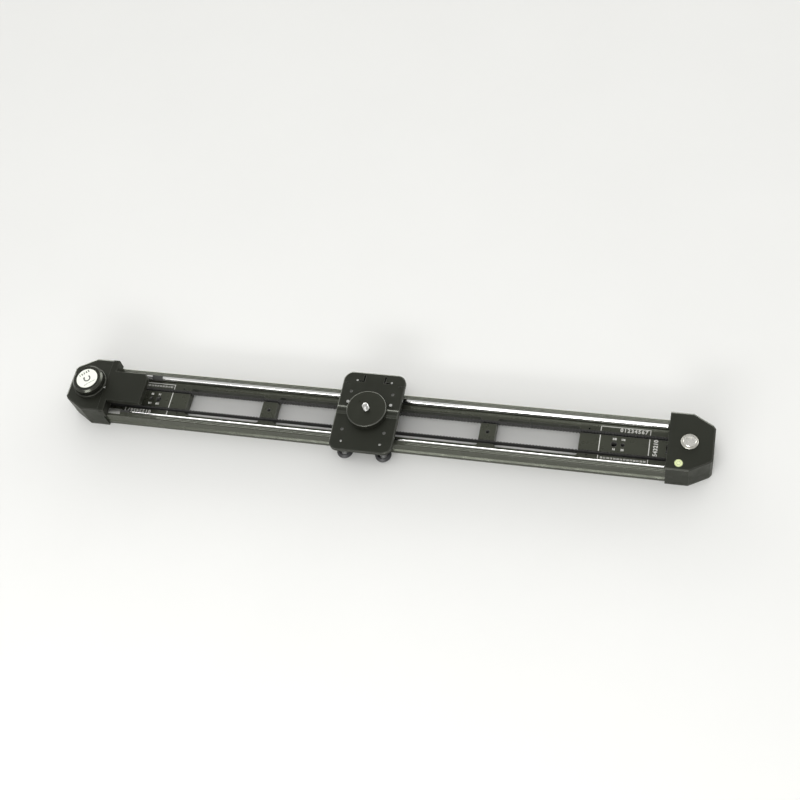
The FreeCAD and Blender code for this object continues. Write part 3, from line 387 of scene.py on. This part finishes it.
def level_liquid():
    """Clear acrylic vial filled with yellow-green liquid."""
    made = Finish("level_liquid", (0.90, 0.97, 0.55), 0.06)
    made.set("Transmission Weight", 0.15)
    made.set("IOR", 1.42)
    swirl = made.noise(3.5, detail=2)
    made.drive("Base Color", made.tint(swirl, (0.88, 0.96, 0.50), (0.92, 0.98, 0.62)))
    made.drive("Roughness", made.spread(swirl, 0.04, 0.12))
    return made.material


def bubble_air():
    made = Finish("bubble_air", (0.93, 0.98, 0.80), 0.05)
    made.set("Transmission Weight", 0.8)
    made.set("IOR", 1.1)
    made.drive("Roughness", made.spread(made.noise(1.5), 0.03, 0.08))
    return made.material


def table_top():
    """A plain pale floor with a trace of mottling."""
    made = Finish("table_top", (0.80, 0.80, 0.78), 0.7)
    cloud = made.noise(300, detail=4)
    made.drive("Base Color", made.tint(cloud, (0.78, 0.78, 0.765), (0.82, 0.82, 0.805)))
    made.drive("Roughness", made.spread(cloud, 0.62, 0.78))
    made.bump(made.noise(1.2), 0.02)
    return made.material


# --------------------------------------------------------------------- mesh building
class Shape:
    """Points and faces gathered for one mesh."""

    def __init__(self):
        self.points = []
        self.faces = []

    def add(self, points, faces):
        first = len(self.points)
        self.points += [tuple(point) for point in points]
        self.faces += [tuple(first + corner for corner in face) for face in faces]
        return self

    def loops(self, rings, closed_stack=False):
        """Skins closed rings of points, all of one length; a closed stack joins the last to the first."""
        count = len(rings[0])
        points = [point for one in rings for point in one]
        faces = []
        for low in range(len(rings) if closed_stack else len(rings) - 1):
            high = (low + 1) % len(rings)
            for n in range(count):
                following = (n + 1) % count
                foot = (low * count + n, low * count + following)
                head = (high * count + following, high * count + n)
                faces.append(foot + head)
        return self.add(points, faces)

    def slab(self, outline, low, high):
        """An upright prism on a flat outline of (x, y) points."""
        count = len(outline)
        points = [(x, y, low) for x, y in outline] + [(x, y, high) for x, y in outline]
        sides = [(n, (n + 1) % count, count + (n + 1) % count, count + n) for n in range(count)]
        return self.add(points, [tuple(range(count))[::-1], tuple(range(count, 2 * count)), *sides])

    def lathe(self, profile, centre, steps):
        """Turns a closed outline of (radius, height) points about a vertical axis."""
        rings = []
        for n in range(steps):
            angle = TAU * n / steps
            across = Vector((math.cos(angle), math.sin(angle), 0))
            rings.append([centre + across * radius + Vector((0, 0, z)) for radius, z in profile])
        return self.loops(rings, closed_stack=True)

    def piece(self, name, body, material, slot, sharp):
        """The finished mesh as a piece that rides on a body; edges are sharp from an angle in degrees."""
        mesh = bpy.data.meshes.new(name)
        mesh.from_pydata(self.points, [], self.faces)
        work = bmesh.new()
        work.from_mesh(mesh)
        bmesh.ops.remove_doubles(work, verts=work.verts, dist=1e-7)
        bmesh.ops.dissolve_degenerate(work, dist=1e-8, edges=work.edges)
        bmesh.ops.recalc_face_normals(work, faces=work.faces)
        for face in work.faces:
            face.smooth = True
        work.to_mesh(mesh)
        work.free()
        mesh.set_sharp_from_angle(angle=math.radians(sharp))
        mesh.materials.append(material)
        made = bpy.data.objects.new(name, mesh)
        bpy.context.scene.collection.objects.link(made)
        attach(made, body)
        return made


def stroke(points, width):
    """The outline of a line of constant width through flat (x, y) points."""
    left, right = [], []
    for n, point in enumerate(points):
        before = Vector(points[max(n - 1, 0)])
        after = Vector(points[min(n + 1, len(points) - 1)])
        along = (after - before).normalized()
        side = Vector((-along.y, along.x)) * width / 2
        left.append(tuple(Vector(point) + side))
        right.append(tuple(Vector(point) - side))
    return left + right[::-1]


def arc(centre, radius, start, end, steps):
    """Flat points along an arc; angles in degrees."""
    turns = [math.radians(start + (end - start) * n / steps) for n in range(steps + 1)]
    return [(centre[0] + radius * math.cos(a), centre[1] + radius * math.sin(a)) for a in turns]


def lettering(shape, text, size, spot, angle, low, high, bold):
    """Adds figures to a shape, centred on a flat spot, turned by angle degrees, bold mm bolder."""
    curve = bpy.data.curves.new("figures", "FONT")
    curve.body = text
    curve.size = size
    curve.align_x = "CENTER"
    curve.align_y = "CENTER"
    curve.extrude = (high - low) / 2
    curve.resolution_u = 3
    curve.offset = bold * MM
    carrier = bpy.data.objects.new("figures", curve)
    bpy.context.scene.collection.objects.link(carrier)
    bpy.context.view_layer.update()
    mesh = bpy.data.meshes.new_from_object(carrier)
    there = Matrix.Translation((spot[0], spot[1], (low + high) / 2))
    turn = there @ Matrix.Rotation(math.radians(angle), 4, "Z")
    shape.add([turn @ v.co for v in mesh.vertices], [tuple(face.vertices) for face in mesh.polygons])
    bpy.data.objects.remove(carrier)
    bpy.data.curves.remove(curve)
    bpy.data.meshes.remove(mesh)


def thread_radius(turn, crest, root):
    """The radius at a share of one turn of a 60 degree thread with flat crests and roots."""
    flat = 0.15
    share = turn % 1.0
    rise = min(share, 1 - share) * 2
    level = min(max((rise - flat) / (1 - 2 * flat), 0), 1)
    return root + (crest - root) * level


def thread_rings(centre, low, high, crest, root, pitch, taper=0.0):
    """Rings of points up a helical thread; the thread fades out over taper at its top."""
    sides, levels_in_a_turn = 48, 10
    count = max(2, round((high - low) / pitch * levels_in_a_turn))
    rings = []
    for level in range(count + 1):
        height = low + (high - low) * level / count
        limit = crest
        if taper and height > high - taper:
            limit = crest - (height - (high - taper))
        ring = []
        for n in range(sides):
            share = n / sides
            radius = min(thread_radius(height / pitch - share, crest, root), limit)
            angle = TAU * share
            x = centre[0] + radius * math.cos(angle)
            y = centre[1] + radius * math.sin(angle)
            ring.append((x, y, height))
        rings.append(ring)
    return rings


# ------------------------------------------------------------------ finishes on the frame
def paint(material, *names):
    for name in names:
        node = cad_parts[name]
        node.data.materials.clear()
        node.data.materials.append(material)


def soften(width, *names):
    """Breaks the sharp edges of CAD parts by width millimetres."""
    for name in names:
        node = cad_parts[name]
        weld = node.modifiers.new("weld", "WELD")
        weld.merge_threshold = 2e-6
        flats = node.modifiers.new("flats", "DECIMATE")
        flats.decimate_type = "DISSOLVE"
        flats.angle_limit = math.radians(0.5)
        bevel = node.modifiers.new("bevel", "BEVEL")
        bevel.width = width * MM
        bevel.segments = 2
        bevel.limit_method = "ANGLE"
        bevel.angle_limit = math.radians(40)
        bevel.miter_outer = "MITER_ARC"
        weighted = node.modifiers.new("normals", "WEIGHTED_NORMAL")
        weighted.keep_sharp = True


def finish_anodised_parts():
    along_the_rail = (400, 1, 1)
    # This copy of the anodising is lighter and more reflective than the others: painted light, standing
    # in for the light that the fine ridges on the rail's wall tops catch.
    rail = anodised("rail_anodised", 0.30, lines=along_the_rail, rubbed=0.0, lightness=3.3, edge_wear_and_highlight=0.8,
                    specular=0.62)
    paint(rail, "rail_extrusion")
    paint(anodised("housing_anodised", 0.44, edge_wear_and_highlight=0.7), "right_end_housing", "left_end_housing",
          "right_base_plate", "left_base_plate", "belt_clamp_block", "belt_clamp_jaw")
    # A shaded copy of the housing finish: its weaker reflection darkens the bridge plate and base ring as
    # painted shade.
    paint(anodised("bridge_anodised", 0.46, edge_wear_and_highlight=0.7, specular=0.3), "bridge_plate", "flywheel_base_ring")
    paint(anodised("carriage_anodised", 0.42, edge_wear_and_highlight=0.8), "carriage_plate")
    # The disc's and flywheel's rims get bare-metal colour outside the rim radius: partly rubbing, and
    # partly a painted highlight of their rounded edges.
    disc = anodised("disc_anodised", 0.34, centre=CARRIAGE, rim=30.3, rubbed=0.25, lightness=1.4)
    paint(disc, "mount_disc")
    paint(anodised("flywheel_anodised", 0.36, centre=DRIVE_AXLE, rim=23.0, rubbed=0.05), "flywheel")


def finish_steel_parts():
    paint(rod_steel(), "rod_rear", "rod_front", "drive_shaft")
    paint(turned_steel("bolt_steel", IDLER_AXLE, (0.74, 0.73, 0.69), 0.2), "idler_shoulder_bolt")
    paint(turned_steel("washer_steel", IDLER_AXLE, (0.56, 0.55, 0.50), 0.32), "idler_washer")
    paint(plain_steel("fastener_steel", (0.74, 0.74, 0.72)), "roller_axles", "clamp_screws", "drag_screw",
          "roller_nuts")
    paint(plain_steel("dull_steel", (0.42, 0.42, 0.40), 0.36), "rod_collar")
    paint(plain_steel("dark_steel", (0.25, 0.25, 0.24), 0.36), "shoe_screws")
    paint(oxide_steel(), "right_base_screws", "left_base_screws", "right_joint_bolts", "left_joint_bolts",
          "bridge_screws", "disc_screws", "jaw_screws", "preload_screws",
          "pulley_set_screws", "flywheel_screw")


def finish_frame():
    """Paints every node of the frame, and breaks its sharpest visible edges."""
    finish_anodised_parts()
    finish_steel_parts()
    paint(machined_aluminium("idler_aluminium", IDLER_AXLE), "idler_spacer", "idler_pulley")
    paint(machined_aluminium("drive_aluminium", DRIVE_AXLE), "drive_pulley")
    paint(machined_aluminium("sleeve_aluminium", middle("roller_sleeves")), "roller_sleeves")
    paint(acrylic(), "bubble_level_cup")
    paint(moulded_grey(), "rod_stops")
    paint(level_liquid(), "bubble_level_vial")
    paint(sticker(), "flywheel_badge")
    plastic = acetal()
    for corner in ("rear_left", "rear_right", "front_left", "front_right"):
        paint(plastic, "rod_shoe_" + corner, "roller_" + corner)
    soften(0.3, "rail_extrusion", "carriage_plate", "bridge_plate")


# --------------------------------------------------------------------------- drive belt
def belt_spot(way):
    """A flat point of the belt's middle line and its outward normal, way metres along the loop."""
    run = IDLER_AXLE.x - DRIVE_AXLE.x
    bend = math.pi * BELT_RADIUS
    way %= 2 * (run + bend)
    if way < run:
        return Vector((DRIVE_AXLE.x + way, BELT_RADIUS)), Vector((0, 1))
    if way < run + bend:
        axle, angle = IDLER_AXLE.x, math.pi / 2 - (way - run) / BELT_RADIUS
    elif way < 2 * run + bend:
        return Vector((IDLER_AXLE.x - (way - run - bend), -BELT_RADIUS)), Vector((0, -1))
    else:
        axle, angle = DRIVE_AXLE.x, -math.pi / 2 - (way - 2 * run - bend) / BELT_RADIUS
    out = Vector((math.cos(angle), math.sin(angle)))
    return Vector((axle, 0)) + out * BELT_RADIUS, out


def toothed_belt():
    low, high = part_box("drive_belt")
    outside, root, tip = 0.9 * MM, 0.1 * MM, -0.9 * MM
    length = 2 * (IDLER_AXLE.x - DRIVE_AXLE.x + math.pi * BELT_RADIUS)
    teeth = round(length / TOOTH_PITCH)
    # Shares of a tooth's pitch where its tip starts and ends, and where the gap starts and ends.
    section = [(0.0, tip), (0.42, tip), (0.56, root), (0.86, root)]
    rings = []
    for tooth in range(teeth):
        for share, inner in section:
            spot, out = belt_spot((tooth + share) * length / teeth)
            inside, outward = spot + out * inner, spot + out * outside
            rings.append([(*inside, low.z), (*outward, low.z), (*outward, high.z), (*inside, high.z)])
    shape = Shape().loops(rings, closed_stack=True)
    belt = shape.piece("toothed_belt", "rail", belt_rubber(), "belt_rubber", 25)
    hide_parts("drive_belt")


# --------------------------------------------------------------------- threads and stud
def stud_head(low, centre, material):
    """The stud's round head under the plate, with a round driving recess."""
    radius, rim, depth, socket, floor = 9 * MM, 0.6 * MM, 4 * MM, 4 * MM, 3 * MM
    profile = [(socket, low), (radius - rim, low), (radius, low + rim), (radius, low + depth),
               (0, low + depth), (0, low + floor), (socket, low + floor)]
    head = Shape().lathe(profile, Vector((centre.x, centre.y, 0)), 96)
    return head.piece("camera_stud_head", "carriage", material, "polished_steel", 35)


def camera_thread():
    """The camera stud with its real thread, and its head under the plate."""
    low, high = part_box("camera_stud")
    centre = middle("camera_stud")
    root, overlap, chamfer, head_depth = 3.9 * MM, 0.5 * MM, 0.9 * MM, 4 * MM
    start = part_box("mount_disc")[1].z - overlap
    foot_level = low.z + head_depth
    rings = thread_rings(centre, start, high.z, LARGE_THREAD, root, LARGE_PITCH, chamfer)
    tip = [(centre.x, centre.y, high.z)] * len(rings[0])
    base = [(centre.x, centre.y, foot_level)] * len(tip)
    foot = [(x, y, foot_level) for x, y, z in rings[0]]
    shape = Shape().loops([base, foot, *rings, tip])
    material = plain_steel("stud_steel", (0.66, 0.66, 0.64), 0.2)
    stud = shape.piece("camera_stud_threaded", "carriage", material, "polished_steel", 50)
    under = stud_head(low.z, centre, material)
    under.parent = stud
    under.matrix_parent_inverse = Matrix.Identity(4)
    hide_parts("camera_stud")


def threaded_hole(name, x, radius, root, pitch):
    """Thread cut in the wall of a tripod hole through the rail's floor."""
    crest_gap, back_gap, above, below = 0.05 * MM, 0.1 * MM, 0.2 * MM, 0.5 * MM
    low, high = FLOOR_BOTTOM + above, FLOOR_TOP - below
    inner = thread_rings(Vector((x, 0, 0)), low, high, radius + crest_gap, root, pitch)
    count = len(inner[0])
    back = radius + back_gap

    def circle(height):
        turns = [TAU * n / count for n in range(count)]
        return [(x + back * math.cos(a), back * math.sin(a), height) for a in turns]

    shape = Shape().loops([*inner, circle(high), circle(low)], closed_stack=True)
    shape.piece(name, "rail", bpy.data.materials["thread_metal"], "black_anodised", 50)


def tripod_threads():
    """The threads of all seven tripod holes in the rail's floor."""
    made = Finish("thread_metal", (0.05, 0.05, 0.047), 0.32, 0.8)
    oil = made.noise(0.8, detail=4)
    made.drive("Roughness", made.spread(oil, 0.22, 0.42, 0.3, 0.7))
    made.drive("Base Color", made.tint(made.noise(1.5), (0.04, 0.04, 0.038), (0.10, 0.10, 0.095)))
    large_root, small_root = 4.0 * MM, 2.55 * MM
    large = (LARGE_THREAD, large_root, LARGE_PITCH)
    small = (SMALL_THREAD, small_root, SMALL_PITCH)
    for side, sign in (("left", -1), ("right", 1)):
        threaded_hole(f"stud_thread_{side}", sign * STUD_HOLE, *large)
        threaded_hole(f"screw_thread_{side}", sign * SCREW_HOLE, *small)
        threaded_hole(f"web_thread_{side}", sign * WEB_HOLE, *small)
    threaded_hole("web_thread_middle", 0.0, *large)


# ------------------------------------------------------------------------ printed marks
def turned_about(points, sign):
    """Flat points as they are, or turned half round for the other end of the rail."""
    return [(sign * x, sign * y) for x, y in points]


def panel_print(side, sign, material):
    """The framed print on an end panel: frame lines, hole sizes and three plain number scales."""
    near, far, edge = 352.4 * MM, 426.6 * MM, 29 * MM
    thick, bold = 1.0 * MM, 1.3 * MM
    low, high = FLOOR_TOP, FLOOR_TOP + INK_DEPTH
    face = 0 if sign > 0 else 180
    shape = Shape()
    lines = [([(near, edge), (far, edge)], thick), ([(near, -edge), (far, -edge)], thick)]
    for x in (near, far):
        lines.append(([(x, edge + thick / 2), (x, SLOT_OUTER)], bold))
        lines.append(([(x, SLOT_INNER), (x, -SLOT_INNER)], bold))
        lines.append(([(x, -SLOT_OUTER), (x, -edge - thick / 2)], bold))
    for points, width in lines:
        shape.slab(turned_about(stroke(points, width), sign), low, high)

    def write(text, size, x, y, weight, turn=0):
        lettering(shape, text, size * MM, (sign * x, sign * y), face + turn, low, high, weight)

    def write_row(numbers, size, first, step, weight, turn=0):
        """Numbers at equal steps, with the first one's place and the step in millimetres."""
        for n, number in enumerate(numbers):
            x, y = (first[0] + n * step[0]) * MM, (first[1] + n * step[1]) * MM
            write(str(number), size, x, y, weight, turn)

    above, below = 8.6 * MM, -8.8 * MM
    for x, upper, lower in ((STUD_HOLE, "3/8", "16"), (SCREW_HOLE, "1/4", "20")):
        write(upper, 4.8, x, above, weight=0.18)
        write(lower, 4.8, x, below, weight=0.18)
    write_row(range(8), size=8.6, first=(383.5, 24.5), step=(5.3, 0), weight=0.3)
    write_row(range(10, 24), size=3.9, first=(357.5, -24.6), step=(4.95, 0), weight=0.24)
    write_row(range(6), size=8.8, first=(436.2, 11.75), step=(0, -4.7), weight=0.3, turn=90)
    shape.piece("panel_print_" + side, "rail", material, "badge_white", 35)


def badge_print(material):
    """The flywheel's label: a row of figures, a turning arrow and a row of fine ticks."""
    ink_depth, angle = 0.05 * MM, 42
    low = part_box("flywheel_badge")[1].z
    high = low + ink_depth
    turn = Matrix.Rotation(math.radians(angle), 2)
    centre = Vector((DRIVE_AXLE.x, DRIVE_AXLE.y))

    def on_label(points):
        return [tuple(centre + turn @ Vector(point)) for point in points]

    shape = Shape()
    radius, width, start, stop = 5.0 * MM, 1.9 * MM, 152, 395
    shape.slab(on_label(stroke(arc((0, 0), radius, start, stop, 36), width)), low, high)
    end = Vector(arc((0, 0), radius, start, start, 1)[0])
    ahead = Vector((end.y, -end.x)).normalized()
    aside = end.normalized()
    point, half_width = 3.2 * MM, 2.1 * MM
    head = [end + ahead * point, end + aside * half_width, end - aside * half_width]
    shape.slab(on_label(head), low, high)
    figure_row, figure_step, figure_size = 11.2 * MM, 4.0 * MM, 4.8 * MM
    for n in range(5):
        spot = on_label([((n - 2) * figure_step, figure_row)])[0]
        lettering(shape, str(n + 1), figure_size, spot, angle, low, high, 0.26)
    tick_row, tick_width, long_tick, short_tick = -9.6 * MM, 0.45 * MM, 1.8 * MM, 1.2 * MM
    for n in range(20):
        x = (n - 9.5) * MM
        reach = long_tick if n % 5 == 0 else short_tick
        shape.slab(on_label(stroke([(x, tick_row), (x, tick_row - reach)], tick_width)), low, high)
    shape.piece("badge_print", "flywheel_drive", material, "black_polymer", 35)


def flywheel_index_marks(material):
    """Small dark dots of black ink in the flat ring round the label."""
    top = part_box("flywheel")[1].z
    count, ring, radius, depth = 24, 21.1 * MM, 0.75 * MM, 0.03 * MM
    shape = Shape()
    for n in range(count):
        turn = TAU * n / count
        spot = (DRIVE_AXLE.x + ring * math.cos(turn), DRIVE_AXLE.y + ring * math.sin(turn))
        shape.slab(arc(spot, radius, 0, 345, 15), top, top + depth)
    shape.piece("flywheel_index_marks", "flywheel_drive", material, "black_polymer", 35)


# ---------------------------------------------------------------------------- the level
def level_bubble():
    """The bubble under the vial's crown, and the ring printed round it."""
    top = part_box("bubble_level_vial")[1].z
    centre = middle("bubble_level_vial")
    across, along = 0.6 * MM, 0.4 * MM
    radius, deep, cover, steps = 1.5 * MM, 0.9 * MM, 0.15 * MM, 12
    profile = []
    for n in range(steps + 1):
        turn = math.pi * n / steps
        profile.append((radius * math.sin(turn), -cover - deep * (1 - math.cos(turn)) / 2))
    spot = Vector((centre.x + across, centre.y + along, top))
    bubble = Shape().lathe(profile, spot, 40)
    bubble.piece("level_bubble", "rail", bubble_air(), "level_liquid", 80)
    ring, wire, sunk, sides = 2.6 * MM, 0.14 * MM, 0.16 * MM, 10
    turns = [TAU * n / sides for n in range(sides)]
    tube = [(ring + wire * math.cos(turn), wire * math.sin(turn)) for turn in turns]
    flat = Vector((centre.x, centre.y, top - sunk))
    black = bpy.data.materials["black_ink"]
    Shape().lathe(tube, flat, 64).piece("level_ring", "rail", black, "black_polymer", 80)


# -------------------------------------------------------------------------- the bearings
def bearing(name, node, body, bore):
    """A shielded ball bearing: two races with a recessed shield on each face."""
    low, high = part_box(node)
    centre = (low + high) / 2
    outer = (high.x - low.x) / 2
    half = (high.z - low.z) / 2
    race_share, edge, recess = 0.24, 0.2 * MM, 0.35 * MM
    wall = (outer - bore) * race_share
    top = [
        (bore + edge, half), (bore + wall, half), (bore + wall, half - recess),
        (outer - wall, half - recess), (outer - wall, half), (outer - edge, half), (outer, half - edge),
    ]
    profile = [(bore, half - edge), *top, *[(r, -z) for r, z in reversed(top)], (bore, edge - half)]
    made = Shape().lathe(profile, centre, 64)
    piece = made.piece(name, body, bpy.data.materials["race_steel"], "bearing_steel", 30)
    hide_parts(node)


def bearings():
    made = Finish("race_steel", (0.55, 0.55, 0.54), 0.22, 1.0)
    film = made.noise(1.2, detail=4)
    made.drive("Roughness", made.spread(film, 0.16, 0.34, 0.3, 0.7))
    made.drive("Base Color", made.tint(film, (0.48, 0.48, 0.47), (0.60, 0.60, 0.59)))
    made.bump(made.noise(0.2), 0.003)
    for corner in ("rear_left", "rear_right", "front_left", "front_right"):
        bearing("shielded_bearing_" + corner, "roller_bearing_" + corner, "wheel_" + corner, 2.55 * MM)
    for level in ("lower", "upper"):
        bearing(f"idler_race_{level}", f"idler_bearing_{level}", "idler", 5.05 * MM)
        bearing(f"drive_race_{level}", f"{level}_drive_bearing", "rail", 4.05 * MM)


# ----------------------------------------------------------------------- the stage
def make_floor():
    mesh = bpy.data.meshes.new("floor")
    reach, level = 4.0, -0.1 * MM
    corners = [(x * reach, y * reach, level) for x, y in ((-1, -1), (1, -1), (1, 1), (-1, 1))]
    mesh.from_pydata(corners, [], [(0, 1, 2, 3)])
    mesh.materials.append(table_top())
    floor = bpy.data.objects.new("floor", mesh)
    bpy.context.scene.collection.objects.link(floor)


def make_sky():
    """A soft studio: dim overhead, and a bright backdrop low down behind the object."""
    world = bpy.data.worlds.new("studio")
    bpy.context.scene.world = world
    world.use_nodes = True
    nodes, links = world.node_tree.nodes, world.node_tree.links
    back = nodes["Background"]
    back.inputs["Color"].default_value = (1.0, 1.0, 0.985, 1)
    coordinates = nodes.new("ShaderNodeTexCoord")
    split = nodes.new("ShaderNodeSeparateXYZ")
    links.new(coordinates.outputs["Generated"], split.inputs["Vector"])

    def ramp(axis, start, end, low, high):
        made = nodes.new("ShaderNodeMapRange")
        made.interpolation_type = "SMOOTHSTEP"
        for name, number in (("From Min", start), ("From Max", end), ("To Min", low), ("To Max", high)):
            made.inputs[name].default_value = number
        links.new(split.outputs[axis], made.inputs["Value"])
        return made.outputs["Result"]

    backdrop, low_down, overhead = 6.5, 0.82, 0.68
    glow = nodes.new("ShaderNodeMath")
    glow.operation = "MULTIPLY"
    links.new(ramp("Z", 0.14, 0.40, backdrop, 0.0), glow.inputs[0])
    links.new(ramp("Y", 0.0, 0.7, 0.0, 1.0), glow.inputs[1])
    total = nodes.new("ShaderNodeMath")
    total.operation = "ADD"
    links.new(ramp("Z", 0.1, 0.8, low_down, overhead), total.inputs[0])
    links.new(glow.outputs["Value"], total.inputs[1])
    links.new(total.outputs["Value"], back.inputs["Strength"])


def make_light(name, spot, aim, size, power):
    data = bpy.data.lights.new(name, "AREA")
    data.shape = "RECTANGLE"
    data.size, data.size_y = size
    data.energy = power
    light = bpy.data.objects.new(name, data)
    light.location = spot
    light.rotation_mode = "QUATERNION"
    light.rotation_quaternion = (Vector(aim) - Vector(spot)).to_track_quat("-Z", "Y")
    bpy.context.scene.collection.objects.link(light)


def make_lights():
    make_light("overhead_bank", (0.2, -0.7, 2.8), (0, -0.7, 0), (1.5, 1.2), 10)
    make_light("front_bank", (-0.4, -2.2, 1.2), (0, 0, 0), (2.4, 1.0), 6)
    make_light("front_lamp", (-0.2, -2.2, 0.9), (0, 0, 0), (1.8, 0.35), 22)


def make_camera():
    spot = Vector((0.4985, -0.8529, 1.6849))
    aim = Vector((0.0264, 0.0505, 0))
    roll = math.radians(-18.68)
    data = bpy.data.cameras.new("camera")
    data.sensor_width = 36
    data.lens = 55
    camera = bpy.data.objects.new("camera", data)
    camera.location = spot
    camera.rotation_mode = "QUATERNION"
    level = (aim - spot).to_track_quat("-Z", "Y")
    camera.rotation_quaternion = level @ Matrix.Rotation(roll, 3, "Z").to_quaternion()
    bpy.context.scene.collection.objects.link(camera)
    bpy.context.scene.camera = camera
    bpy.context.scene.view_settings.view_transform = "Standard"


# ------------------------------------------------------------------------------- build
finish_frame()
toothed_belt()
camera_thread()
tripod_threads()
white_ink = ink("white_ink", (0.78, 0.78, 0.74))
black_ink = ink("black_ink", (0.02, 0.02, 0.021))
panel_print("right", 1, white_ink)
panel_print("left", -1, white_ink)
badge_print(black_ink)
flywheel_index_marks(black_ink)
level_bubble()
bearings()
make_floor()
make_sky()
make_lights()
make_camera()
